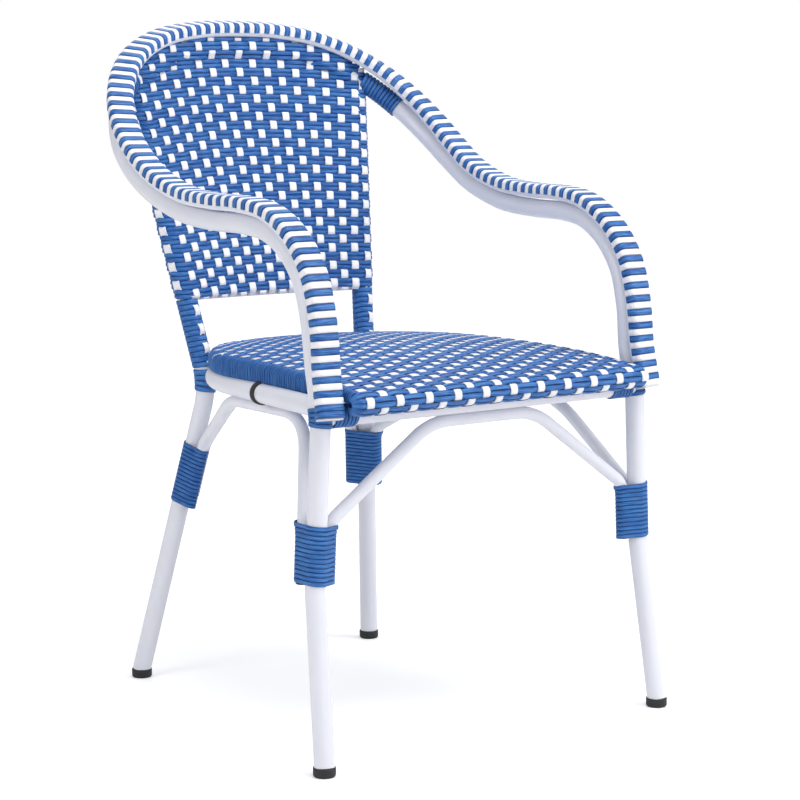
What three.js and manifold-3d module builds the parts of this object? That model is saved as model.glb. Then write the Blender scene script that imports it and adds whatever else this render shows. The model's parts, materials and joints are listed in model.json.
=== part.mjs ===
// Woven bistro armchair: a bent tube frame with a striped crest hoop, a woven back and a woven seat.
// Millimetres, +Z up, the sitter faces -Y, origin on the floor under the middle of the chair.
import * as THREE from 'three';
import { mergeVertices } from 'three/addons/utils/BufferGeometryUtils.js';
import Module from 'manifold-3d';

const wasm = await Module();
wasm.setup();

// Clearances
const fit = 0.3;
const armFit = 0.8;
const bindingFit = 0.5;
const overrun = 20;

// Height of the seat rails, which carries the height of nearly everything above the floor
const railHeight = 433;

// Tubes and rods
const tubeDiameter = 25;
const braceDiameter = 16;
const rodDiameter = 8;
const tubeSides = 12;
const braceSides = 10;
const rodSides = 8;

// Crest hoop: a flat-sided tube with a wrap laid round its outer faces
const hoopWidth = 35;
const hoopThickness = 20.5;
const hoopCornerRadius = 6;
const coreCorner = 2.6;
const wrapThickness = 1.2;
const wrapDepth = 13;
const hoopHalfSpan = 262;
const hoopBack = 296.3;
const hoopReach = 582;
const hoopFrontY = hoopBack - hoopReach;
const hoopEndBelowRail = 6.8;
const hoopEndHeight = railHeight - hoopEndBelowRail;
const hoopRise = 462.6;
const hoopLeanShare = 0.15;
const hoopHalfSamples = 200;
const hoopStationTurn = 0.34;
const hoopStationSpacing = 90;
const hoopCapThickness = 2;

// Route of the hoop from the middle of the crest to the right front end,
// as shares of its half span, its reach towards the front and its rise
const hoopRouteShares = [
  [0.000, 0.000, 1.000],
  [0.242, 0.005, 0.995],
  [0.490, 0.025, 0.971],
  [0.686, 0.060, 0.925],
  [0.817, 0.102, 0.870],
  [0.914, 0.153, 0.803],
  [0.973, 0.211, 0.731],
  [0.997, 0.275, 0.660],
  [0.996, 0.362, 0.589],
  [0.988, 0.478, 0.541],
  [0.982, 0.598, 0.527],
  [0.971, 0.701, 0.524],
  [0.961, 0.784, 0.509],
  [0.955, 0.845, 0.475],
  [0.953, 0.897, 0.423],
  [0.953, 0.941, 0.346],
  [0.953, 0.968, 0.235],
  [0.955, 0.980, 0.117],
  [0.964, 1.000, 0.000],
];

// Front legs
const frontFootX = 268.7;
const frontFootAhead = 10.6;
const frontFootY = hoopFrontY - frontFootAhead;
const kneeX = 259.2;
const kneeBehind = 22.4;
const kneeY = hoopFrontY + kneeBehind;
const kneeBelowRail = 213;
const kneeHeight = railHeight - kneeBelowRail;
const kneeRadius = 150;

// Rear legs and the back uprights above them
const rearFootX = 196.7;
const rearFootAhead = 47.1;
const rearFootY = hoopBack - rearFootAhead;
const rearBendX = 131.5;
const rearBendAhead = 126.8;
const rearBendY = hoopBack - rearBendAhead;
const rearBendBelowRail = 23;
const rearBendHeight = railHeight - rearBendBelowRail;
const rearBendRadius = 120;
const uprightTopX = 188.2;
const uprightTopAhead = 22.9;
const uprightTopY = hoopBack - uprightTopAhead;
const uprightTopDrop = 52.8;
const uprightTopHeight = hoopEndHeight + hoopRise - uprightTopDrop;

// Feet
const capHeight = 12;
const capDiameter = 27.6;
const capSides = 16;
const capEdge = 2;

// Seat: plan outline, rolled front edge and crown
const seatArcRadius = 216;
const seatFrontWiden = 17;
const seatFrontHalfWidth = seatArcRadius + seatFrontWiden;
const seatFrontAhead = 27.8;
const seatFront = hoopFrontY - seatFrontAhead;
const seatRearGap = 20;
const seatArcCentreY = rearBendY + seatRearGap - seatArcRadius;
const seatRollRadius = 15;
const seatRollAboveRail = 8.8;
const seatRollHeight = railHeight + seatRollAboveRail;
const seatSideRise = 28.7;
const seatSideTop = seatRollHeight + seatSideRise;
const seatRearRise = 24.2;
const seatRearTop = seatRollHeight + seatRearRise;
const seatCrownRise = 40.2;
const seatCrownHeight = seatRollHeight + seatCrownRise;
const seatCrownBehind = 1.5;
const seatCrownY = seatArcCentreY + seatCrownBehind;
const seatSheet = 5.5;
const seatRimWidth = 15;
const seatHollowBehindRoll = 2;
const seatWall = 3.2;
const seatEdgeRadius = 8;
const seatSections = 14;

// Frame under the seat
const railInset = 9;
const frontRailDrop = 8;
const railArcRadius = seatArcRadius - railInset;
const railSteps = 9;
const tabWidth = 16;
const tabThickness = 4;
const seatRodDiameter = 18;
const seatFrameDiameter = 13;
const seatFrameGap = 1.2;
const seatFrameBehind = 75.5;
const seatFrameFront = seatFront + seatFrameBehind;
const bumperAhead = 61.5;
const bumperY = seatArcCentreY - bumperAhead;
const bumperWidth = 9;
const bumperThickness = 2;

// Braces between the legs
const braceFootBelowRail = 207;
const braceFootHeight = railHeight - braceFootBelowRail;
const frontBraceBelowRail = 28.2;
const frontBraceHeight = railHeight - frontBraceBelowRail;
const frontBraceHalfRun = 82;
const frontBraceElbowDrop = 108.8;
const frontBraceElbowHeight = frontBraceHeight - frontBraceElbowDrop;
const braceBendRadius = 90;
const braceElbowRadius = 30;
const sideBraceBelowRail = 22;
const sideBraceRunHeight = railHeight - sideBraceBelowRail;
const sideBraceElbowDrop = 123;
const sideBraceElbowHeight = sideBraceRunHeight - sideBraceElbowDrop;
const sideBraceFrontX = 198;
const sideBraceFrontBehind = 128.7;
const sideBraceFrontY = hoopFrontY + sideBraceFrontBehind;
const sideBraceRearX = 190;
const sideBraceRearAhead = 274.3;
const sideBraceRearY = hoopBack - sideBraceRearAhead;
const sideBraceRearFootRise = 23;
const sideBraceRearFootHeight = braceFootHeight + sideBraceRearFootRise;
const rearBraceFootRise = 1;
const rearBraceFootHeight = sideBraceRearFootHeight + rearBraceFootRise;
const rearBraceOtherFootRise = 7;
const rearBraceOtherFootHeight = sideBraceRearFootHeight + rearBraceOtherFootRise;
const rearBraceBelowRail = 33;
const rearBraceHeight = railHeight - rearBraceBelowRail;
const rearBraceElbowDrop = 73;
const rearBraceElbowHeight = rearBraceHeight - rearBraceElbowDrop;
const rearBraceHalfRun = 62;
const plugThickness = 2.5;

// Back panel
const panelThickness = 5;
const panelBow = 12;
const panelHemAboveRail = 89;
const panelHemHeight = railHeight + panelHemAboveRail;
const panelCornerDrop = 12;
const panelCornerHeight = uprightTopHeight - panelCornerDrop;
const panelTopGap = 8;
const panelEdgeThickness = 2.2;
const panelBead = 6.3;
const panelColumns = 10;
const panelRows = 3;

// Bindings of flat strand wound round the joints
const strandWidth = 4.6;
const strandThickness = 1.5;
const strandPitch = 5.5;
const uprightStrandWidth = 7.6;
const uprightStrandPitch = 8.4;
const legBindingLoops = 13;
const legBindingDrop = 3.5;
const legBindingHeight = braceFootHeight - legBindingDrop;
const rearBindingDrop = 3;
const rearBindingHeight = sideBraceRearFootHeight - rearBindingDrop;
const cornerBindingLoops = 4;
const cornerBindingBelowRail = 22.5;
const cornerBindingHeight = railHeight - cornerBindingBelowRail;
const railBindingLoops = 5;
const railBindingStart = 16.5;
const seatJointLoops = 5;
const seatJointTilt = 4;
const uprightBindingLoops = 8;
const armBindingLoops = 7;
const bendStrandPitch = 5.9;
const armBindingStart = 32;
const armEaseStart = 3;
const armEaseSteps = 3;
const bindingRoom = 4.3;
const loopStepAngle = (2 * Math.PI) / 7;
const halfLoopSteps = 3;
const leastSelfGap = 0.4;

const white = new THREE.MeshStandardMaterial({ color: 0xf1f2f6, roughness: 0.42, metalness: 0.05 });
const blue = new THREE.MeshStandardMaterial({ color: 0x2a66b4, roughness: 0.45, metalness: 0 });
const black = new THREE.MeshStandardMaterial({ color: 0x161617, roughness: 0.6, metalness: 0 });
const woven = new THREE.MeshStandardMaterial({ color: 0x5f8fcb, roughness: 0.5, metalness: 0 });
const striped = new THREE.MeshStandardMaterial({ color: 0x8fb0dc, roughness: 0.45, metalness: 0 });

const chair = new THREE.Group();
const tubeRadius = tubeDiameter / 2;
const hoopHigh = hoopThickness / 2;
const hoopLow = -hoopHigh;
const braceRadius = braceDiameter / 2;
const up = new THREE.Vector3(0, 0, 1);
const levelUp = new THREE.Vector3(0, -hoopLeanShare, 1);
const point = (x, y, z) => new THREE.Vector3(x, y, z);

function addPiece(name, geometry, material) {
  const mesh = new THREE.Mesh(geometry, material);
  mesh.name = name;
  chair.add(mesh);
}

// Solids and geometries

function solidOf(geometry) {
  const bare = geometry.clone();
  bare.deleteAttribute('normal');
  bare.deleteAttribute('uv');
  const merged = mergeVertices(bare, fit / 1000);
  const vertProperties = new Float32Array(merged.attributes.position.array);
  const triVerts = new Uint32Array(merged.index.array);
  return new wasm.Manifold(new wasm.Mesh({ numProp: 3, vertProperties, triVerts }));
}

function geometryOf(solid) {
  const mesh = solid.getMesh();
  const geometry = new THREE.BufferGeometry();
  const corners = new Float32Array(mesh.numVert * 3);
  for (let i = 0; i < mesh.numVert; i += 1) {
    for (let k = 0; k < 3; k += 1) corners[3 * i + k] = mesh.vertProperties[mesh.numProp * i + k];
  }
  geometry.setAttribute('position', new THREE.BufferAttribute(corners, 3));
  geometry.setIndex(new THREE.BufferAttribute(new Uint32Array(mesh.triVerts), 1));
  geometry.computeVertexNormals();
  return geometry;
}

// Largest single body of a solid, which drops the stub that a cut leaves beyond a joint
function mainBody(solid) {
  const bodies = solid.decompose();
  bodies.sort((a, b) => b.volume() - a.volume());
  return bodies[0];
}

function cutBy(geometry, cutters) {
  let solid = solidOf(geometry);
  for (const cutter of cutters) solid = solid.subtract(solidOf(cutter));
  return geometryOf(mainBody(solid));
}

// Same surface with each face turned over, in place
function flipped(geometry) {
  const index = geometry.index.array;
  for (let i = 0; i < index.length; i += 3) {
    const held = index[i];
    index[i] = index[i + 1];
    index[i + 1] = held;
  }
  return geometry;
}

function mirrored(geometry) {
  const copy = geometry.clone();
  copy.applyMatrix4(new THREE.Matrix4().makeScale(-1, 1, 1));
  if (!copy.index) {
    copy.setIndex(Array.from({ length: copy.attributes.position.count }, (_, i) => i));
  }
  flipped(copy);
  copy.computeVertexNormals();
  return copy;
}

// Outline of a flat ring of points, laid out in its own plane
function flatOutline(ring) {
  const origin = ring[0];
  const across = ring[1].clone().sub(origin).normalize();
  const rest = ring.at(-1).clone().sub(origin);
  const upward = rest.addScaledVector(across, -rest.dot(across)).normalize();
  return ring.map((p) => {
    const away = p.clone().sub(origin);
    return new THREE.Vector2(away.dot(across), away.dot(upward));
  });
}

// Closed body through a row of rings with equal numbers of points and convex ends
function loft(rings) {
  const count = rings[0].length;
  const last = (rings.length - 1) * count;
  const index = [];
  for (let r = 0; r < last; r += count) {
    for (let i = 0; i < count; i += 1) {
      const a = r + i;
      const b = r + ((i + 1) % count);
      index.push(a, a + count, b, b, a + count, b + count);
    }
  }
  const outline = flatOutline(rings[0]);
  const { isClockWise, triangulateShape } = THREE.ShapeUtils;
  for (const [a, b, c] of triangulateShape([...outline], [])) {
    const agrees = isClockWise([outline[a], outline[b], outline[c]]) === isClockWise(outline);
    const [d, e] = agrees ? [b, c] : [c, b];
    index.push(a, d, e, last + a, last + e, last + d);
  }
  const geometry = new THREE.BufferGeometry();
  const corners = rings.flat().flatMap((p) => [p.x, p.y, p.z]);
  geometry.setAttribute('position', new THREE.Float32BufferAttribute(corners, 3));
  geometry.setIndex(index);
  return solidOf(geometry).volume() < 0 ? flipped(geometry) : geometry;
}

// Paths given by stations: points with a normal and a binormal at each

class StationPath extends THREE.Curve {
  constructor(stations) {
    super();
    this.stations = stations;
  }

  getSpacedPoints() {
    return this.stations.map((station) => station.point);
  }

  computeFrenetFrames() {
    return {
      tangents: this.stations.map((station) => station.tangent),
      normals: this.stations.map((station) => station.normal),
      binormals: this.stations.map((station) => station.binormal),
    };
  }
}

function tangentsOf(points) {
  return points.map((_, i) => {
    const before = points[Math.max(i - 1, 0)];
    const after = points[Math.min(i + 1, points.length - 1)];
    return after.clone().sub(before).normalize();
  });
}

// Stations whose binormal stays level, square to the path and to a given up direction
function levelStations(points, upward) {
  return tangentsOf(points).map((tangent, i) => {
    const binormal = tangent.clone().cross(upward).normalize();
    const normal = binormal.clone().cross(tangent).normalize();
    return { point: points[i], tangent, normal, binormal };
  });
}

// Stations whose frame is carried along the path without twist
function carriedStations(points, firstNormal) {
  let carried = firstNormal.clone();
  return tangentsOf(points).map((tangent, i) => {
    carried = carried.clone().addScaledVector(tangent, -carried.dot(tangent)).normalize();
    const binormal = tangent.clone().cross(carried).normalize();
    return { point: points[i], tangent, normal: carried, binormal };
  });
}

// Points along straight runs joined by round bends of the given radii
function bentRoute(corners, radii, bendSteps) {
  const route = [corners[0]];
  for (let i = 1; i < corners.length - 1; i += 1) {
    const inward = corners[i].clone().sub(corners[i - 1]).normalize();
    const outward = corners[i + 1].clone().sub(corners[i]).normalize();
    const angle = inward.angleTo(outward);
    const radius = radii[i - 1];
    const reach = radius * Math.tan(angle / 2);
    const side = outward.clone().addScaledVector(inward, -outward.dot(inward)).normalize();
    const start = corners[i].clone().addScaledVector(inward, -reach);
    for (let k = 0; k <= bendSteps; k += 1) {
      const turn = (angle * k) / bendSteps;
      const along = inward.clone().multiplyScalar(radius * Math.sin(turn));
      const across = side.clone().multiplyScalar(radius * (1 - Math.cos(turn)));
      route.push(start.clone().add(along).add(across));
    }
  }
  route.push(corners[corners.length - 1]);
  return route;
}

function polygon(radius, sides) {
  const corners = [];
  for (let i = 0; i < sides; i += 1) {
    const angle = (2 * Math.PI * i) / sides;
    corners.push(new THREE.Vector2(radius * Math.cos(angle), radius * Math.sin(angle)));
  }
  return new THREE.Shape(corners);
}

function sweep(shape, stations) {
  const options = { steps: stations.length - 1, curveSegments: 1, extrudePath: new StationPath(stations) };
  return new THREE.ExtrudeGeometry(shape, options);
}

const tubeAlong = (stations, radius, sides) => sweep(polygon(radius, sides), stations);

// Section of the hoop with its corners cut off and a corner on each side where the wrap ends
function hoopSection(grow, high, corner) {
  const wide = hoopWidth / 2 + grow;
  const low = hoopLow - Math.max(grow, 0);
  const rim = hoopHigh - wrapDepth;
  const half = [[low, wide - corner], [low + corner, wide], [rim, wide], [high - corner, wide], [high, wide - corner]];
  const other = half.map(([x, y]) => [x, -y]).reverse();
  return new THREE.Shape([...half, ...other].map(([x, y]) => new THREE.Vector2(x, y)).reverse());
}

// Crest hoop

const hoopPoint = ([across, forward, rise]) => point(
  across * hoopHalfSpan,
  hoopBack - forward * hoopReach,
  hoopEndHeight + rise * hoopRise,
);

// Indexes of the stations to keep, closer together where the frame turns
function keptByTurn(stations) {
  const kept = [0];
  for (let i = 1; i < stations.length - 1; i += 1) {
    const from = stations[kept.at(-1)];
    const next = stations[i + 1];
    const turned = from.tangent.angleTo(next.tangent) + from.normal.angleTo(next.normal);
    const apart = from.point.distanceTo(next.point);
    if (turned > hoopStationTurn || apart > hoopStationSpacing) kept.push(i);
  }
  return [...kept, stations.length - 1];
}

function hoopStations() {
  const right = hoopRouteShares.map(hoopPoint);
  const left = right.slice(1).map((p) => point(-p.x, p.y, p.z)).reverse();
  const curve = new THREE.CatmullRomCurve3([...left, ...right], false, 'centripetal');
  const fine = levelStations(curve.getSpacedPoints(2 * hoopHalfSamples), levelUp);
  const half = fine.slice(hoopHalfSamples);
  const kept = keptByTurn(half).map((i) => half[i]);
  const flip = (v) => point(-v.x, v.y, v.z);
  const other = kept.slice(1).reverse().map((station) => ({
    point: flip(station.point),
    tangent: flip(station.tangent).negate(),
    normal: flip(station.normal),
    binormal: flip(station.binormal),
  }));
  return [...other, ...kept];
}

const hoopRings = hoopStations();
const coreInset = wrapThickness + fit;
const hoopCoreShape = hoopSection(-coreInset, hoopHigh - coreInset, coreCorner);
const hoopKeepOut = sweep(hoopSection(fit, hoopHigh + fit, coreCorner), hoopRings);

// Section of the hoop's outer part, from the wrap's rim up to its outer face
function outerSection() {
  const radius = hoopCornerRadius;
  const rim = hoopHigh - wrapDepth;
  const wide = hoopWidth / 2;
  const shape = new THREE.Shape();
  shape.moveTo(rim, -wide);
  shape.lineTo(hoopHigh - radius, -wide);
  shape.absarc(hoopHigh - radius, radius - wide, radius, -Math.PI / 2, 0);
  shape.lineTo(hoopHigh, wide - radius);
  shape.absarc(hoopHigh - radius, wide - radius, radius, 0, Math.PI / 2);
  shape.lineTo(rim, wide);
  return shape;
}

// Stations with one more beyond each end
function lengthened(stations, reach) {
  const first = stations[0];
  const last = stations.at(-1);
  const before = { ...first, point: first.point.clone().addScaledVector(first.tangent, -reach) };
  const after = { ...last, point: last.point.clone().addScaledVector(last.tangent, reach) };
  return [before, ...stations, after];
}

// The wrap: a channel over the outer face of the hoop and down both of its sides
function stripedWrap() {
  const section = hoopSection(-wrapThickness, hoopHigh - wrapThickness, coreCorner);
  const core = solidOf(sweep(section, lengthened(hoopRings, overrun)));
  return geometryOf(solidOf(sweep(outerSection(), hoopRings)).subtract(core));
}

function hoopCap() {
  const end = hoopRings[hoopRings.length - 1];
  const near = end.point.clone().addScaledVector(end.tangent, fit);
  const far = near.clone().addScaledVector(end.tangent, hoopCapThickness);
  return sweep(hoopCoreShape, [{ ...end, point: near }, { ...end, point: far }]);
}

function addHoop() {
  const rooms = [cornerRoom, mirrored(cornerRoom)];
  addPiece('crest_hoop', cutBy(sweep(hoopCoreShape, hoopRings), rooms), white);
  addPiece('hoop_striped_wrap', stripedWrap(), striped);
  const cap = cutBy(hoopCap(), [cornerRoom]);
  addPiece('right_hoop_end_cap', cap, white);
  addPiece('left_hoop_end_cap', mirrored(cap), white);
}

// Rear legs, which carry on above the seat as the back uprights

const rearCorners = [
  point(rearFootX, rearFootY, 0),
  point(rearBendX, rearBendY, rearBendHeight),
  point(uprightTopX, uprightTopY, uprightTopHeight),
];
const rearStations = carriedStations(
  bentRoute(rearCorners, [rearBendRadius], 5),
  new THREE.Vector3(1, 0, 0),
);

// A box that clears everything below the seat that the foot caps take
function belowCaps() {
  const wide = 4 * hoopHalfSpan;
  const box = new THREE.BoxGeometry(wide, wide, capHeight + overrun);
  box.translate(0, 0, (capHeight - overrun) / 2);
  return box;
}

const rearLeg = cutBy(tubeAlong(rearStations, tubeRadius, tubeSides), [hoopKeepOut, belowCaps()]);
const rearKeepOut = tubeAlong(rearStations, tubeRadius + fit, tubeSides);

// Centre of a rear leg or upright at a height above the floor
function rearAxisAt(height) {
  const above = height > rearBendHeight;
  const from = above ? rearCorners[1] : rearCorners[0];
  const to = above ? rearCorners[2] : rearCorners[1];
  return from.clone().lerp(to, (height - from.z) / (to.z - from.z));
}

// Front legs, which carry on above the seat as the arms under the hoop

// How far the arm tube hangs below the hoop, more near its rear end to make room for the binding
const armDrop = hoopHigh + armFit + tubeRadius;
const armEndDrop = armDrop + bindingRoom - armFit;
const halfSteps = (hoopRings.length - 1) / 2;

function armStations() {
  const axis = new THREE.Line3(rearAxisAt(rearBendHeight), rearAxisAt(uprightTopHeight));
  const hung = hoopRings.slice(halfSteps).map((ring) => ({
    ...ring,
    point: ring.point.clone().addScaledVector(ring.normal, -armEndDrop),
  }));
  const gaps = hung.map((ring) => {
    const foot = axis.closestPointToPoint(ring.point, false, new THREE.Vector3());
    return foot.distanceTo(ring.point);
  });
  const first = gaps.indexOf(Math.min(...gaps));
  return hung.slice(first).map((ring, i) => {
    const raise = (armEndDrop - armDrop) * Math.min(1, Math.max(0, (i - armEaseStart) / armEaseSteps));
    return { ...ring, point: ring.point.clone().addScaledVector(ring.normal, raise) };
  });
}

function frontLegStations() {
  const arm = armStations();
  const last = arm[arm.length - 1].point;
  const corners = [last, point(kneeX, kneeY, kneeHeight), point(frontFootX, frontFootY, 0)];
  const leg = levelStations(bentRoute(corners, [kneeRadius], 3), levelUp);
  return [...arm, ...leg.slice(1)];
}

const frontStations = frontLegStations();
const frontLegTop = armStations().at(-1).point;
const frontLeg = cutBy(tubeAlong(frontStations, tubeRadius, tubeSides), [rearKeepOut, belowCaps()]);
const frontKeepOut = tubeAlong(frontStations, tubeRadius + fit, tubeSides);

function frontAxisAt(height) {
  const knee = point(kneeX, kneeY, kneeHeight);
  const above = height > kneeHeight;
  const from = above ? knee : point(frontFootX, frontFootY, 0);
  const to = above ? frontLegTop : knee;
  return from.clone().lerp(to, (height - from.z) / (to.z - from.z));
}

function footCap() {
  const radius = capDiameter / 2;
  const top = capHeight - fit;
  const profile = [
    new THREE.Vector2(0, 0),
    new THREE.Vector2(radius - capEdge, 0),
    new THREE.Vector2(radius, capEdge),
    new THREE.Vector2(radius, top),
    new THREE.Vector2(0, top),
  ];
  const cap = new THREE.LatheGeometry(profile, capSides);
  cap.rotateX(Math.PI / 2);
  return cap;
}

function addLegs() {
  addPiece('right_front_leg_and_arm', frontLeg, white);
  addPiece('left_front_leg_and_arm', mirrored(frontLeg), white);
  addPiece('right_rear_leg_and_upright', rearLeg, white);
  addPiece('left_rear_leg_and_upright', mirrored(rearLeg), white);
  const feet = { front: frontAxisAt(capHeight), rear: rearAxisAt(capHeight) };
  for (const [place, foot] of Object.entries(feet)) {
    for (const [side, sign] of [['right', 1], ['left', -1]]) {
      const cap = footCap();
      cap.translate(sign * foot.x, foot.y, 0);
      addPiece(`${side}_${place}_foot_cap`, cap, black);
    }
  }
}

// Seat rails: one bent tube round the sides and back, and a straight one across the front

const legAtRail = frontAxisAt(railHeight);

function railRoute(radius, frontX, frontY, height) {
  const centre = new THREE.Vector2(0, seatArcCentreY);
  const away = new THREE.Vector2(frontX, frontY).sub(centre);
  const angle = Math.atan2(away.y, away.x) + Math.acos(radius / away.length());
  const route = [point(frontX, frontY, height)];
  for (let i = 0; i <= railSteps; i += 1) {
    const turn = angle + ((Math.PI / 2 - angle) * i) / railSteps;
    route.push(point(radius * Math.cos(turn), seatArcCentreY + radius * Math.sin(turn), height));
  }
  const left = route.slice(0, -1).map((p) => point(-p.x, p.y, p.z)).reverse();
  return [...route, ...left];
}

const railFrontX = legAtRail.x - tubeRadius + fit;
const seatBottom = railHeight + tubeRadius + fit;
const railStations = levelStations(
  railRoute(railArcRadius, railFrontX, legAtRail.y + tubeRadius, railHeight),
  up,
);
const railKeepOut = tubeAlong(railStations, tubeRadius + fit, tubeSides);
const legAtFrontRail = frontAxisAt(railHeight - frontRailDrop);
const frontRailStations = levelStations(
  [legAtFrontRail.clone(), point(-legAtFrontRail.x, legAtFrontRail.y, legAtFrontRail.z)],
  up,
);
const frontRailKeepOut = tubeAlong(frontRailStations, tubeRadius + fit, tubeSides);

// Room round the leg for the binding below its joint with the rails and the hoop's end
const cornerBindingLength = strandPitch * cornerBindingLoops + strandWidth;
const risingFront = [...frontStations].reverse().map((station) => ({
  ...station,
  tangent: station.tangent.clone().negate(),
  binormal: station.binormal.clone().negate(),
}));
const cornerStart = distanceToHeight(risingFront, cornerBindingHeight);
const cornerRoom = tubeAlong(
  [-2 * fit, cornerBindingLength / 2, cornerBindingLength + 2 * fit].map((run) => walker(risingFront)(cornerStart + run)),
  tubeRadius + bindingRoom,
  tubeSides,
);

// Room round the front rail for the binding beside each leg
const railBindingLength = strandPitch * railBindingLoops + strandWidth;
const railBindingRoom = tubeAlong(
  levelStations(
    [railBindingStart - 2 * fit, railBindingStart + railBindingLength + 2 * fit].map(
      (inward) => point(legAtFrontRail.x - inward, legAtFrontRail.y, legAtFrontRail.z),
    ),
    up,
  ),
  tubeRadius + bindingRoom,
  tubeSides,
);

// Flat tab under the seat between the rail and the upright behind it
function rearTab() {
  const height = railHeight + tubeRadius - tabThickness + fit;
  const upright = rearAxisAt(height);
  const centre = point(0, seatArcCentreY, height);
  const outward = upright.clone().sub(centre).normalize();
  const inner = centre.clone().addScaledVector(outward, railArcRadius);
  const tab = new THREE.BoxGeometry(upright.distanceTo(inner), tabWidth, tabThickness);
  tab.rotateZ(Math.atan2(outward.y, outward.x));
  tab.translate(...inner.lerp(upright, 0.5).toArray());
  return cutBy(tab, [railKeepOut, rearKeepOut]);
}

// A box over the rails that clears what would reach into the seat
function aboveRails() {
  const wide = 4 * hoopHalfSpan;
  const box = new THREE.BoxGeometry(wide, wide, overrun);
  box.translate(0, 0, seatBottom - fit + overrun / 2);
  return box;
}

function bumperRing() {
  const from = railStations[0].point;
  const to = railStations[1].point;
  const direction = to.clone().sub(from).normalize();
  const middle = from.clone().lerp(to, (bumperY - from.y) / (to.y - from.y));
  const inner = tubeRadius + fit;
  const outer = inner + bumperThickness;
  const half = bumperWidth / 2;
  const profile = [[inner, -half], [outer, -half], [outer, half], [inner, half], [inner, -half]];
  const ring = new THREE.LatheGeometry(profile.map(([x, y]) => new THREE.Vector2(x, y)), 16);
  ring.applyQuaternion(new THREE.Quaternion().setFromUnitVectors(new THREE.Vector3(0, 1, 0), direction));
  ring.translate(middle.x, middle.y, middle.z);
  return cutBy(ring, [aboveRails()]);
}

function addSeatRails() {
  const rail = tubeAlong(railStations, tubeRadius, tubeSides);
  const corners = [cornerRoom, mirrored(cornerRoom)];
  const cutters = [frontKeepOut, mirrored(frontKeepOut), hoopKeepOut, ...corners];
  const behind = [frontRailKeepOut, railBindingRoom, mirrored(railBindingRoom)];
  addPiece('seat_side_rail', cutBy(rail, [...cutters, ...behind]), white);
  addPiece('seat_front_rail', cutBy(tubeAlong(frontRailStations, tubeRadius, tubeSides), cutters), white);
  const tab = rearTab();
  addPiece('right_rear_tab', tab, white);
  addPiece('left_rear_tab', mirrored(tab), white);
  const bumper = bumperRing();
  addPiece('right_rail_bumper', bumper, black);
  addPiece('left_rail_bumper', mirrored(bumper), black);
}

// Woven seat: a crowned shell with a rolled front edge, over an inner frame

const rollCentreY = seatFront + seatRollRadius;
const seatRear = seatArcCentreY + seatArcRadius;
const rollTop = seatRollHeight + seatRollRadius;
const lastSeatShare = 0.9985;

function seatHalfWidth(y, inset) {
  const radius = seatArcRadius - inset;
  const taper = THREE.MathUtils.mapLinear(y, seatFront, seatArcCentreY, seatFrontHalfWidth, seatArcRadius);
  const arc = Math.sqrt(Math.max(0, radius * radius - (y - seatArcCentreY) ** 2));
  return y < seatArcCentreY ? taper - inset : arc;
}

// Height of the seat's top along its middle and along its side edge
function seatTop(y, share) {
  const front = Math.min(1, Math.max(0, (y - rollCentreY) / (seatCrownY - rollCentreY)));
  const rear = Math.min(1, Math.max(0, (y - seatCrownY) / (seatRear - seatCrownY)));
  const middle = y < seatCrownY
    ? rollTop + (seatCrownHeight - rollTop) * (1 - (1 - front) ** 2)
    : seatCrownHeight - (seatCrownHeight - seatRearTop) * rear ** 2;
  const edge = y < seatCrownY
    ? rollTop + (seatSideTop - rollTop) * (1 - (1 - front) ** 3)
    : seatSideTop - (seatSideTop - seatRearTop) * rear ** 2;
  return edge + (middle - edge) * (1 - share * share);
}

// One closed ring of the seat's section at a distance from the front
function seatRing(y) {
  const half = seatHalfWidth(y, 0);
  const ring = [];
  const topSteps = 6;
  const shoulder = Math.min(seatEdgeRadius, half / 3);
  const sideTop = seatTop(y, 1);
  for (let i = 0; i <= topSteps; i += 1) {
    const share = 1 - (2 * i) / topSteps;
    ring.push(point(share * (half - shoulder), y, seatTop(y, Math.abs(share))));
  }
  ring.push(point(-half, y, sideTop - shoulder), point(-half, y, seatBottom));
  ring.push(point(half, y, seatBottom), point(half, y, sideTop - shoulder));
  return ring;
}

function seatSlab() {
  const rings = [];
  for (let i = 0; i <= seatSections; i += 1) {
    const share = Math.sin((Math.PI / 2) * (i / seatSections)) * lastSeatShare;
    rings.push(seatRing(rollCentreY + (seatRear - rollCentreY) * share));
  }
  return loft(rings);
}

// Room under the woven sheet, inside the rim that goes round the bent rod
function seatHollow() {
  const rings = [];
  const topSteps = 6;
  const front = rollCentreY + seatRollRadius + seatHollowBehindRoll;
  const rear = seatRear - seatRimWidth;
  for (let i = 0; i <= seatSections; i += 1) {
    const y = front + (rear - front) * Math.sin((Math.PI / 2) * (i / seatSections)) * lastSeatShare;
    const half = seatHalfWidth(y, seatRimWidth);
    const ring = [];
    for (let k = 0; k <= topSteps; k += 1) {
      const x = half * (1 - (2 * k) / topSteps);
      ring.push(point(x, y, seatTop(y, Math.abs(x) / seatHalfWidth(y, 0)) - seatSheet));
    }
    ring.push(point(-half, y, seatBottom - overrun), point(half, y, seatBottom - overrun));
    rings.push(ring);
  }
  return loft(rings);
}

function seatRoll(radius, halfLength) {
  const stations = levelStations(
    [point(halfLength, rollCentreY, seatRollHeight), point(-halfLength, rollCentreY, seatRollHeight)],
    up,
  );
  return tubeAlong(stations, radius, 20);
}

// Stations of the bent rod inside the seat, round its sides and back
function seatFrameStations() {
  const radius = seatFrameDiameter / 2;
  const inset = seatWall + seatFrameGap + radius;
  const frontX = seatHalfWidth(seatFrameFront, inset);
  const height = seatBottom + fit + radius;
  return levelStations(railRoute(seatArcRadius - inset, frontX, seatFrameFront, height), up);
}

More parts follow.
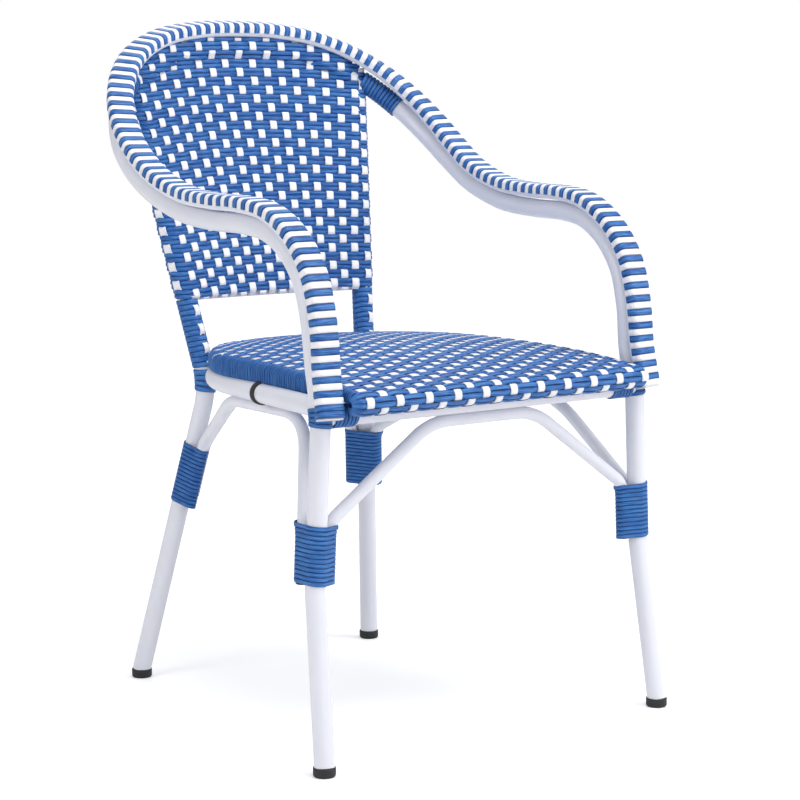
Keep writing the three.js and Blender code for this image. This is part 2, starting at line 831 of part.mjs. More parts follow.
// Groove under the seat, open downwards, that the bent rod lies in
function seatGroove() {
  const half = seatFrameDiameter / 2 + fit;
  const corners = [[-overrun, -half], [half / 2, -half], [half, -half / 2]];
  const other = corners.map(([x, y]) => [x, -y]).reverse();
  const shape = new THREE.Shape([...corners, ...other].map(([x, y]) => new THREE.Vector2(x, y)));
  return sweep(shape, lengthened(seatFrameStations(), fit));
}

function wovenSeat() {
  const roll = solidOf(seatRoll(seatRollRadius, seatFrontHalfWidth));
  let seat = solidOf(seatSlab()).add(roll);
  const rod = seatRoll(seatRodDiameter / 2 + fit, seatFrontHalfWidth + overrun);
  const underside = [seatGroove(), seatHollow()];
  const rooms = [rod, ...underside, frontRailKeepOut, railBindingRoom, mirrored(railBindingRoom)];
  for (const room of rooms) seat = seat.subtract(solidOf(room));
  return geometryOf(mainBody(seat));
}

function addSeat() {
  addPiece('woven_seat', wovenSeat(), woven);
  addPiece('seat_front_rod', seatRoll(seatRodDiameter / 2, seatFrontHalfWidth - fit), white);
  addPiece('seat_inner_frame', tubeAlong(seatFrameStations(), seatFrameDiameter / 2, rodSides), white);
}

// Woven back: a bowed panel between the uprights, closed round them and round two rods

function hoopUndersideAt(x) {
  const rings = hoopRings.slice(halfSteps);
  const next = rings.findIndex((ring, i) => i > 0 && ring.point.x > x);
  const a = rings[next - 1];
  const b = rings[next];
  const share = (x - a.point.x) / (b.point.x - a.point.x);
  const middle = a.point.z + (b.point.z - a.point.z) * share;
  const slope = (b.point.z - a.point.z) / (b.point.x - a.point.x);
  return middle - hoopHigh * Math.hypot(1, slope);
}

// Height of the panel's top edge at a share of its half width
function panelTopAt(share) {
  const x = Math.abs(share) * rearAxisAt(panelCornerHeight).x;
  return hoopUndersideAt(x) - panelTopGap - panelBead;
}

// A point of the panel's middle surface, from a share across it and a height
function panelPoint(share, height) {
  const edge = rearAxisAt(height);
  return point(share * edge.x, edge.y + panelBow * (1 - share * share), height);
}

function panelSlab() {
  const rings = [];
  for (let j = 0; j <= panelColumns; j += 1) {
    const share = (2 * j) / panelColumns - 1;
    const top = panelTopAt(share);
    const front = [];
    const back = [];
    for (let i = 0; i <= panelRows; i += 1) {
      const height = panelHemHeight + panelBead + ((top - panelHemHeight - panelBead) * i) / panelRows;
      const middle = panelPoint(share, height);
      front.push(point(middle.x, middle.y - panelThickness / 2, middle.z));
      back.push(point(middle.x, middle.y + panelThickness / 2, middle.z));
    }
    rings.push([...front, ...back.reverse()]);
  }
  return loft(rings);
}

function rodRoute(heightAt, columns) {
  const route = [];
  for (let j = 0; j <= columns; j += 1) {
    const share = 1 - (2 * j) / columns;
    route.push(panelPoint(share, heightAt(share)));
  }
  return route;
}

const topRodStations = levelStations(
  rodRoute(panelTopAt, panelColumns),
  new THREE.Vector3(0, -1, 0),
);
const hemRodStations = levelStations(rodRoute(() => panelHemHeight + panelBead, 6), up);

function uprightSleeve(radius, low, high) {
  const stations = [low, high].map((height) => rearAxisAt(height));
  return tubeAlong(carriedStations(stations, new THREE.Vector3(1, 0, 0)), radius, tubeSides);
}

function wovenBack() {
  const outer = tubeRadius + fit + panelEdgeThickness;
  const sleeve = uprightSleeve(outer, panelHemHeight, panelCornerHeight);
  let panel = solidOf(panelSlab());
  panel = panel.add(solidOf(sleeve)).add(solidOf(mirrored(sleeve)));
  for (const stations of [topRodStations, hemRodStations]) {
    panel = panel.add(solidOf(tubeAlong(stations, panelBead, rodSides)));
  }
  const cutters = [rearKeepOut, mirrored(rearKeepOut), frontKeepOut, mirrored(frontKeepOut), hoopKeepOut];
  for (const stations of [topRodStations, hemRodStations]) {
    cutters.push(tubeAlong(stations, rodDiameter / 2 + fit, rodSides));
  }
  for (const cutter of cutters) panel = panel.subtract(solidOf(cutter));
  return geometryOf(mainBody(panel));
}

function addBack() {
  addPiece('woven_back', wovenBack(), woven);
  const uprights = [rearKeepOut, mirrored(rearKeepOut)];
  const topRod = tubeAlong(topRodStations, rodDiameter / 2, rodSides);
  const hemRod = tubeAlong(hemRodStations, rodDiameter / 2, rodSides);
  addPiece('back_top_rod', cutBy(topRod, uprights), white);
  addPiece('back_hem_rod', cutBy(hemRod, uprights), white);
}

// Braces: thin tubes bent up under the seat, with their ends beside the legs

// A place beside a leg, at a bearing in degrees round it, with the two tubes touching
function beside(axisPoint, degrees, gap) {
  const angle = THREE.MathUtils.degToRad(degrees);
  const reach = tubeRadius + braceRadius + gap;
  return point(axisPoint.x + reach * Math.cos(angle), axisPoint.y + reach * Math.sin(angle), axisPoint.z);
}

const frontBraceBearing = 166;
const sideBraceFrontBearing = 76;
const sideBraceRearBearing = -90;
const rearBraceBearing = 161;

function frontBraceRoute() {
  const foot = beside(frontAxisAt(braceFootHeight), frontBraceBearing, fit);
  const elbow = beside(frontAxisAt(frontBraceElbowHeight), frontBraceBearing, fit);
  const crown = point(frontBraceHalfRun, elbow.y, frontBraceHeight);
  const flip = (p) => point(-p.x, p.y, p.z);
  const corners = [foot, elbow, crown, flip(crown), flip(elbow), flip(foot)];
  return bentRoute(corners, [braceElbowRadius, braceBendRadius, braceBendRadius, braceElbowRadius], 3);
}

function rearBraceRoute() {
  const foot = beside(rearAxisAt(rearBraceFootHeight), rearBraceBearing, fit);
  const elbow = beside(rearAxisAt(rearBraceElbowHeight), rearBraceBearing, fit);
  const outside = bindingRoom + fit;
  const otherFoot = beside(rearAxisAt(rearBraceOtherFootHeight), rearBraceBearing, outside);
  const otherElbow = beside(rearAxisAt(rearBraceElbowHeight), rearBraceBearing, outside);
  const crown = point(rearBraceHalfRun, elbow.y, rearBraceHeight);
  const flip = (p) => point(-p.x, p.y, p.z);
  const corners = [foot, elbow, crown, flip(crown), flip(otherElbow), flip(otherFoot)];
  return bentRoute(corners, [braceElbowRadius, braceBendRadius, braceBendRadius, braceElbowRadius], 3);
}

function sideBraceRoute() {
  const frontFoot = beside(frontAxisAt(braceFootHeight), sideBraceFrontBearing, fit);
  const frontElbow = beside(frontAxisAt(sideBraceElbowHeight), sideBraceFrontBearing, fit);
  const rearFoot = beside(rearAxisAt(sideBraceRearFootHeight), sideBraceRearBearing, fit);
  const rearElbow = beside(rearAxisAt(rearBraceElbowHeight), sideBraceRearBearing, fit);
  const frontCrown = point(sideBraceFrontX, sideBraceFrontY, sideBraceRunHeight);
  const rearCrown = point(sideBraceRearX, sideBraceRearY, sideBraceRunHeight);
  const corners = [frontFoot, frontElbow, frontCrown, rearCrown, rearElbow, rearFoot];
  return bentRoute(corners, [braceElbowRadius, braceBendRadius, braceBendRadius, braceElbowRadius], 3);
}

function endPlug(end, inner) {
  const outward = end.clone().sub(inner).normalize();
  const near = end.clone().addScaledVector(outward, fit);
  const far = near.clone().addScaledVector(outward, plugThickness);
  const stations = carriedStations([near, far], new THREE.Vector3(1, 0, 0));
  return tubeAlong(stations, braceRadius - fit, rodSides);
}

function addBrace(name, route) {
  const stations = carriedStations(route, new THREE.Vector3(0, 1, 0));
  addPiece(name, tubeAlong(stations, braceRadius, braceSides), white);
}

function addBraces() {
  const front = frontBraceRoute();
  const rear = rearBraceRoute();
  const side = sideBraceRoute();
  const otherSide = side.map((p) => point(-p.x, p.y, p.z));
  const braces = { front_brace: front, rear_brace: rear, right_brace: side, left_brace: otherSide };
  for (const [name, route] of Object.entries(braces)) {
    addBrace(name, route);
    addPiece(`${name}_plug_a`, endPlug(route[0], route[1]), black);
    addPiece(`${name}_plug_b`, endPlug(route.at(-1), route.at(-2)), black);
  }
}

// Bindings: one unbroken flat strand wound round a bundle of tubes

// Corners of the taut outline round a bundle of circles, each arc in steps that clear its circle
function bundleOutline(bundle) {
  const samples = 360;
  const grow = 1 / Math.cos(loopStepAngle / 2);
  const owners = [];
  for (let i = 0; i < samples; i += 1) {
    const angle = (2 * Math.PI * i) / samples;
    const reach = bundle.map(({ x, y, radius }) => x * Math.cos(angle) + y * Math.sin(angle) + radius);
    owners.push(reach.findIndex((far) => far > Math.max(...reach) - fit));
  }
  const arcs = [];
  owners.forEach((owner, i) => {
    if (i === 0 || owner !== owners[i - 1]) arcs.push({ owner, from: i, to: i });
    arcs.at(-1).to = i + 1;
  });
  const corners = [];
  for (const { owner, from, to } of arcs) {
    const { x, y, radius } = bundle[owner];
    const turn = (2 * Math.PI) / samples;
    const steps = Math.max(1, Math.ceil(((to - from) * turn) / loopStepAngle));
    for (let k = 0; k <= steps; k += 1) {
      const angle = turn * (from + ((to - from) * k) / steps);
      const lift = new THREE.Vector2(Math.cos(angle), Math.sin(angle));
      corners.push({ lift, place: lift.clone().multiplyScalar(radius * grow).add(new THREE.Vector2(x, y)) });
    }
  }
  return corners.filter((corner, i) => i === 0 || corner.place.distanceTo(corners[i - 1].place) > fit);
}

// Places along a path of stations, by distance from its start
function walker(stations) {
  const lengths = [0];
  for (let i = 1; i < stations.length; i += 1) {
    lengths.push(lengths[i - 1] + stations[i].point.distanceTo(stations[i - 1].point));
  }
  return (distance) => {
    let i = 1;
    while (i < lengths.length - 1 && lengths[i] < distance) i += 1;
    const share = (distance - lengths[i - 1]) / (lengths[i] - lengths[i - 1]);
    const mix = (key) => stations[i - 1][key].clone().lerp(stations[i][key], share);
    return {
      point: mix('point'),
      tangent: mix('tangent').normalize(),
      normal: mix('normal').normalize(),
      binormal: mix('binormal').normalize(),
    };
  };
}

// Rings of the strand's section along its way round the bundle, straight at both ends
function bindingRings(walk, bundleOf, loops, start, width, pitch) {
  const course = [];
  for (let loop = 0; loop < loops; loop += 1) {
    const ends = [loop, loop + 1].map((turns) => walk(start + width / 2 + pitch * turns));
    const corners = bundleOutline(ends.flatMap(bundleOf));
    const lengths = corners.map(({ place }, i) => (i ? place.distanceTo(corners[i - 1].place) : 0));
    const total = lengths.reduce((sum, length) => sum + length, 0);
    let run = 0;
    corners.forEach((corner, i) => {
      run += lengths[i];
      if (i < corners.length - 1 || loop === loops - 1) {
        course.push({ ...corner, travel: start + width / 2 + pitch * (loop + run / total) });
      }
    });
  }
  const spots = course.map(({ place, lift, travel }) => {
    const station = walk(travel);
    const lay = (v) => station.normal.clone().multiplyScalar(v.x).addScaledVector(station.binormal, v.y);
    return { at: station.point.clone().add(lay(place)), lift: lay(lift), along: station.tangent, lay, flat: lift };
  });
  const lead = (spot, sign) => {
    const away = spot.lay(new THREE.Vector2(-spot.flat.y, spot.flat.x));
    return { ...spot, at: spot.at.clone().addScaledVector(away, sign * strandThickness) };
  };
  const all = [lead(spots[0], -1), ...spots, lead(spots.at(-1), 1)];
  const rings = all.map(({ at, lift, along }) => [
    at.clone().addScaledVector(along, -width / 2),
    at.clone().addScaledVector(along, width / 2),
    at.clone().addScaledVector(lift, strandThickness),
  ]);
  return { rings, centres: spots.map(({ at }) => at) };
}

// Least clear distance between one turn of a winding and the next, measured on its points
function selfGap(centres, width) {
  let least = Infinity;
  const line = new THREE.Line3();
  const foot = new THREE.Vector3();
  for (let i = 0; i < centres.length; i += 1) {
    for (let j = i + halfLoopSteps; j < centres.length - 1; j += 1) {
      line.set(centres[j], centres[j + 1]).closestPointToPoint(centres[i], true, foot);
      least = Math.min(least, foot.distanceTo(centres[i]) - width);
    }
  }
  return least;
}

function addBinding(name, stations, bundleOf, loops, start, width, pitch, flip) {
  const { rings, centres } = bindingRings(walker(stations), bundleOf, loops, start, width, pitch);
  const gap = selfGap(centres, width);
  console.log(`${name}: least gap to itself ${gap.toFixed(2)} mm, ${gap > leastSelfGap ? 'clear' : 'too close'}`);
  const body = loft(rings);
  addPiece(name, flip ? mirrored(body) : body, blue);
}

const boundRadius = (radius) => radius + bindingFit;

// Circles that a binding goes round at a station: the leg, and each brace or its line carried on
function bundleAt(station, routes) {
  const bundle = [{ x: 0, y: 0, radius: boundRadius(tubeRadius) }];
  for (const route of routes) {
    const heights = route.map((p) => p.clone().sub(station.point).dot(station.tangent));
    const next = Math.max(1, heights.findIndex((h, i) => i > 0 && h * heights[i - 1] <= 0));
    const share = heights[next - 1] / (heights[next - 1] - heights[next]);
    const along = route[next].clone().sub(route[next - 1]).normalize();
    const away = route[next - 1].clone().lerp(route[next], share).sub(station.point);
    const slope = Math.min(1, Math.abs(along.dot(station.tangent)));
    const lean = (strandWidth / 2) * Math.sqrt(1 / slope ** 2 - 1);
    const radius = boundRadius(braceRadius) / slope + lean;
    bundle.push({ x: away.dot(station.normal), y: away.dot(station.binormal), radius });
  }
  return bundle;
}

const tubeOnly = () => [{ x: 0, y: 0, radius: boundRadius(tubeRadius) }];

function addLegBindings() {
  const length = strandPitch * legBindingLoops + strandWidth;
  const firstHalf = (route) => route.slice(0, route.length / 2);
  const lastHalf = (route) => route.slice(route.length / 2).reverse();
  const side = sideBraceRoute();
  const front = levelStations([legBindingHeight, legBindingHeight + length].map(frontAxisAt), levelUp);
  const rear = levelStations([rearBindingHeight, rearBindingHeight + length].map(rearAxisAt), levelUp);
  const frontRoutes = [firstHalf(frontBraceRoute()), firstHalf(side)];
  const rightRoutes = [lastHalf(side), firstHalf(rearBraceRoute())];
  const leftRoutes = [lastHalf(side)];
  const lay = (name, stations, routes, flip) => {
    const bundleOf = (station) => bundleAt(station, routes);
    addBinding(name, stations, bundleOf, legBindingLoops, 0, strandWidth, strandPitch, flip);
  };
  lay('right_front_leg_binding', front, frontRoutes, false);
  lay('left_front_leg_binding', front, frontRoutes, true);
  lay('right_rear_leg_binding', rear, rightRoutes, false);
  lay('left_rear_leg_binding', rear, leftRoutes, true);
}

// Distance along rising stations to a height above the floor
function distanceToHeight(stations, height) {
  const next = stations.findIndex((station) => station.point.z > height);
  let run = 0;
  for (let i = 1; i < next; i += 1) run += stations[i].point.distanceTo(stations[i - 1].point);
  const from = stations[next - 1].point;
  const to = stations[next].point;
  return run + (from.distanceTo(to) * (height - from.z)) / (to.z - from.z);
}

function addJointBindings() {
  const tabBottom = railHeight + tubeRadius - 1.5 * tabThickness + fit;
  const jointTop = distanceToHeight(rearStations, tabBottom - seatJointTilt);
  const jointStart = jointTop - bendStrandPitch * seatJointLoops - strandWidth;
  const hem = distanceToHeight(rearStations, panelHemHeight - 2 * fit);
  const uprightStart = hem - uprightStrandPitch * uprightBindingLoops - uprightStrandWidth;
  const arm = armStations();
  for (const [side, flip] of [['right', false], ['left', true]]) {
    const lay = (name, stations, loops, start, width, pitch) => {
      addBinding(`${side}_${name}`, stations, tubeOnly, loops, start, width, pitch, flip);
    };
    lay('corner_binding', risingFront, cornerBindingLoops, cornerStart, strandWidth, strandPitch);
    lay('rail_binding', frontRailStations, railBindingLoops, railBindingStart, strandWidth, strandPitch);
    lay('seat_joint_binding', rearStations, seatJointLoops, jointStart, strandWidth, bendStrandPitch);
    lay('upright_binding', rearStations, uprightBindingLoops, uprightStart, uprightStrandWidth, uprightStrandPitch);
    lay('arm_binding', arm, armBindingLoops, armBindingStart, strandWidth, bendStrandPitch);
  }
}

addHoop();
addLegs();
addSeatRails();
addSeat();
addBack();
addBraces();
addLegBindings();
addJointBindings();

export default chair;
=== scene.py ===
"""Woven bistro armchair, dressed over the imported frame.

All sizes are in millimetres until a mesh is made. The chair stands on z = 0 and the sitter faces
-Y. Its right side is +X, as seen by someone who looks at its front.
"""

import json
import logging
import math
from dataclasses import dataclass, replace
from enum import Enum
from typing import Callable, Iterable, Optional, Sequence

import bpy
import numpy as np
from bpy.types import ID, Material, Mesh, Node, NodeSocket, NodeTree, Object
from mathutils import Matrix

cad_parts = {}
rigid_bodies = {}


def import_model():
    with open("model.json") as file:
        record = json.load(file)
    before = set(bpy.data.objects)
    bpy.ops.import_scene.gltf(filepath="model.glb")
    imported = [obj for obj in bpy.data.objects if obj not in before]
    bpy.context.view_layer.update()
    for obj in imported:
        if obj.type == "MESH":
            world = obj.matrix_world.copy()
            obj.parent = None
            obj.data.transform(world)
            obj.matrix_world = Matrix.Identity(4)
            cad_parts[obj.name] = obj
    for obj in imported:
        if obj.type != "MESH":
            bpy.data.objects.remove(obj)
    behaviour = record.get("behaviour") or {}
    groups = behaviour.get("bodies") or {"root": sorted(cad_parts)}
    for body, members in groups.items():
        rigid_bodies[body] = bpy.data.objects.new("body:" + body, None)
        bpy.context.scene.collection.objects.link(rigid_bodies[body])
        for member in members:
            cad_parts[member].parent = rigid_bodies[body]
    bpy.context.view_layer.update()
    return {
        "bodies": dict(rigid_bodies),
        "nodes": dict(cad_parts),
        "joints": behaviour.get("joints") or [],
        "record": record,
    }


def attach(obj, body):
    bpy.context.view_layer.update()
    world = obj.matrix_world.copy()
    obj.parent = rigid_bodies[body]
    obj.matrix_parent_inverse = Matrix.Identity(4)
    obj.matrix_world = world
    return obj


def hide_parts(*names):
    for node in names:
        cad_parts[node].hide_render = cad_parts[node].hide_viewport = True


LOG = logging.getLogger("armchair")
MM = 0.001
TURN = 2.0 * math.pi
SIDEWAYS, UP = np.array([1.0, 0.0, 0.0]), np.array([0.0, 0.0, 1.0])
SKIN_GAP = 0.1
LEG_STEP = 25.0
TUBE_STEP = 20.0
WHITE = (1.0, 1.0, 1.0, 1.0)

Array = np.ndarray
Triple = tuple[float, float, float]
Pair = tuple[float, float]


class Side(Enum):
    """Right or left half of the chair, as seen by someone who looks at its front."""

    RIGHT = 1
    LEFT = -1

    @property
    def word(self) -> str:
        """Word that starts the names of this side's pieces."""
        return self.name.lower()

    def flip(self, points: Array) -> Array:
        """Points or directions given for the right side, moved to this one."""
        return points * np.array([float(self.value), 1.0, 1.0])


# ---- Vectors and routes


def unit(vectors: Array) -> Array:
    """Vectors of any shape (..., 3) at length one."""
    return vectors / np.linalg.norm(vectors, axis=-1, keepdims=True)


def steps_of(points: Array) -> Array:
    """Difference between the two neighbours of each point in a row."""
    return np.vstack([points[1:], points[-1:]]) - np.vstack([points[:1], points[:-1]])


def tangents_of(points: Array) -> Array:
    """Directions along a row of points, from the neighbours of each."""
    return unit(steps_of(points))


def normals_of(course: Array) -> Array:
    """Directions to the left of each point of a flat course."""
    ahead = steps_of(course)
    return unit(np.stack([-ahead[:, 1], ahead[:, 0]], axis=1))


def circle_at(angles: Array) -> Array:
    """Points of a flat circle of radius one."""
    return np.stack([np.cos(angles), np.sin(angles)], axis=-1)


def lengths_along(points: Array) -> Array:
    """Distance of each point from the first one, along the row."""
    steps = np.linalg.norm(np.diff(points, axis=0), axis=1)
    return np.concatenate([[0.0], np.cumsum(steps)])


def smooth_step(values: Array) -> Array:
    """Eased values, held between nought and one."""
    held = np.clip(values, 0.0, 1.0)
    return held * held * (3.0 - 2.0 * held)


def at_height(low: Array, high: Array, height: float) -> Array:
    """Point at a height on the straight line through two points."""
    return low + (high - low) * (height - low[2]) / (high[2] - low[2])


def rounded_route(corners: Sequence[Array], radii: Sequence[float], steps: int = 10) -> Array:
    """Points along straight runs joined by round bends.

    Args:
        corners: Points where the straight runs meet, with both ends.
        radii: Bend radius at each inner corner.
        steps: Steps in each bend.

    Returns:
        The route's points.
    """
    route = [corners[0]]
    for corner, before, after, radius in zip(corners[1:-1], corners[:-2], corners[2:], radii):
        inward, outward = unit(corner - before), unit(after - corner)
        angle = math.acos(float(np.clip(inward @ outward, -1.0, 1.0)))
        side = unit(outward - inward * (outward @ inward))
        start = corner - inward * radius * math.tan(angle / 2.0)
        for turn in np.linspace(0.0, angle, steps + 1):
            ahead = inward * radius * math.sin(turn)
            route.append(start + ahead + side * radius * (1.0 - math.cos(turn)))
    route.append(corners[-1])
    return np.array(route)


def read_off(rows: Array, run: Array, distances: Array) -> Array:
    """Rows of numbers, known along a run, read off at some distances."""
    return np.stack([np.interp(distances, run, column) for column in rows.T], axis=1)


def sampled(points: Array, distances: Array) -> Array:
    """Points at the given distances along a row of points."""
    return read_off(points, lengths_along(points), distances)


def spaced(points: Array, step: float = TUBE_STEP) -> Array:
    """The same row of points with more of them, no further apart than a step."""
    run = lengths_along(points)
    places = [
        np.linspace(a, b, max(2, int((b - a) / step) + 2))[:-1] for a, b in zip(run[:-1], run[1:])
    ]
    return sampled(points, np.concatenate([*places, run[-1:]]))


def catmull_rom(knots: Array, steps: int) -> Array:
    """Centripetal curve through the knots, with even steps between each two of them."""
    padded = np.vstack([2 * knots[0] - knots[1], knots, 2 * knots[-1] - knots[-2]])
    curve = []
    for p0, p1, p2, p3 in zip(padded[:-3], padded[1:-2], padded[2:-1], padded[3:]):
        d0, d1, d2 = (np.linalg.norm(b - a) ** 0.5 for a, b in ((p0, p1), (p1, p2), (p2, p3)))
        leave = ((p1 - p0) / d0 - (p2 - p0) / (d0 + d1) + (p2 - p1) / d1) * d1
        arrive = ((p2 - p1) / d1 - (p3 - p1) / (d1 + d2) + (p3 - p2) / d2) * d1
        for t in np.linspace(0.0, 1.0, steps, endpoint=False):
            cubic = 2 * p1 - 2 * p2 + leave + arrive
            square = -3 * p1 + 3 * p2 - 2 * leave - arrive
            curve.append(p1 + leave * t + square * t * t + cubic * t * t * t)
    curve.append(knots[-1])
    return np.array(curve)


@dataclass
class Stations:
    """A path with a frame at each point: along it, outwards from it and across it."""

    points: Array
    along: Array
    out: Array
    across: Array

    @classmethod
    def level(cls, points: Array, upward: Array) -> "Stations":
        """Stations whose across direction stays level."""
        along = tangents_of(points)
        across = unit(np.cross(along, upward))
        return cls(points, along, np.cross(across, along), across)

    @classmethod
    def carried(cls, points: Array, first_out: Array) -> "Stations":
        """Stations whose frame is carried along the path without twist."""
        along = tangents_of(points)
        rows = []
        held = first_out
        for direction in along:
            held = unit(held - direction * (held @ direction))
            rows.append(held)
        out = np.array(rows)
        return cls(points, along, out, np.cross(along, out))

    @property
    def run(self) -> Array:
        """Distance of each station from the first."""
        return lengths_along(self.points)

    def at(self, distances: Array) -> "Stations":
        """Stations at some distances from the first, carried straight on past both ends."""
        run = self.run
        held = np.clip(distances, 0.0, run[-1])
        points, along, out, across = (
            read_off(rows, run, held) for rows in (self.points, self.along, self.out, self.across)
        )
        along = unit(along)
        points = points + along * (distances - held)[:, None]
        return Stations(points, along, unit(out), unit(across))

    def part(self, kept: slice) -> "Stations":
        """Stations of one stretch of the path."""
        return Stations(self.points[kept], self.along[kept], self.out[kept], self.across[kept])

    def reversed(self) -> "Stations":
        """The same path walked the other way, with the same side outwards."""
        back = self.part(slice(None, None, -1))
        return Stations(back.points, -back.along, back.out, -back.across)

    def offset(self, out: Array, across: Array) -> Array:
        """Points moved off the path by distances outwards and across, one or one for each."""
        outwards, sideways = (np.reshape(distance, (-1, 1)) for distance in (out, across))
        return self.points + self.out * outwards + self.across * sideways

    def swept(self, outline: Array) -> Array:
        """Rings of an outline, given as distances outwards and across, at every station."""
        rows = [self.offset(out, across) for out, across in outline]
        return np.array(rows).transpose(1, 0, 2)


# ---- Meshes


@dataclass(frozen=True)
class Section:
    """Section of a strand or tube: full width and thickness, how square it is, and its sides."""

    width: float
    thickness: float
    squareness: float = 1.0
    sides: int = 8


@dataclass
class Strand:
    """One length of strand or tube: its centre line, which way its face looks, and its tone."""

    points: Array
    out: Array
    tone: float = 0.5

    def on(self, side: Side) -> "Strand":
        """This strand of the right side, moved to the given one."""
        return Strand(side.flip(self.points), side.flip(self.out), self.tone)


def chain_mesh(name: str, strands: Sequence[Strand]) -> Mesh:
    """Mesh of bare edges, one chain for each strand, with the attributes that the tree reads.

    Args:
        name: Name of the mesh.
        strands: The strands to lay out.

    Returns:
        The mesh, in metres.
    """
    counts = [len(strand.points) for strand in strands]
    starts = np.cumsum([0, *counts[:-1]])
    edges = [np.arange(a, a + n - 1)[:, None] + [0, 1] for a, n in zip(starts, counts)]
    points = np.concatenate([strand.points for strand in strands]) * MM
    mesh = bpy.data.meshes.new(name)
    mesh.from_pydata(points.tolist(), np.concatenate(edges).tolist(), [])
    outs = [np.broadcast_to(s.out, s.points.shape) for s in strands]
    attributes = {
        "face_out": ("FLOAT_VECTOR", "vector", outs),
        "tone": ("FLOAT", "value", [np.full(len(s.points), s.tone) for s in strands]),
        "run": ("FLOAT", "value", [lengths_along(s.points) * MM for s in strands]),
    }
    for key, (kind, item, rows) in attributes.items():
        values = np.concatenate(rows).ravel()
        mesh.attributes.new(key, kind, "POINT").data.foreach_set(item, values)
    return mesh


def new_object(name: str, data: ID) -> Object:
    """Object with this data, put into the scene."""
    made = bpy.data.objects.new(name, data)
    bpy.context.scene.collection.objects.link(made)
    return made


class Wiring:
    """Short way to add and join nodes in a geometry or shader tree."""

    def __init__(self, tree: NodeTree) -> None:
        """Starts on an empty tree."""
        self.tree = tree

    @classmethod
    def emptied(cls, owner: ID) -> "Wiring":
        """Wiring of a material or world, once its own nodes are out."""
        owner.use_nodes = True
        owner.node_tree.nodes.clear()
        return cls(owner.node_tree)

    def add(self, kind: str, settings: Optional[dict] = None, **inputs: object) -> Node:
        """Adds a node.

        Args:
            kind: The node's type.
            settings: Properties of the node itself.
            inputs: Values or sockets for its inputs, by name with underscores for spaces, or by
                number as i0, i1.

        Returns:
            The new node.
        """
        node = self.tree.nodes.new(kind)
        for key, value in (settings or {}).items():
            setattr(node, key, value)
        for key, value in inputs.items():
            numbered = key[0] == "i" and key[1:].isdigit()
            self.put(value, node.inputs[int(key[1:]) if numbered else key.replace("_", " ")])
        return node

    def put(self, value: object, socket: NodeSocket) -> None:
        """Joins a socket to an input, or sets the input to a value."""
        if isinstance(value, NodeSocket):
            self.tree.links.new(value, socket)
        else:
            socket.default_value = value

    def math(self, operation: str, *values: object) -> NodeSocket:
        """Result of a math node on one to three values or sockets."""
        inputs = {f"i{k}": value for k, value in enumerate(values)}
        return self.add("ShaderNodeMath", {"operation": operation}, **inputs).outputs[0]


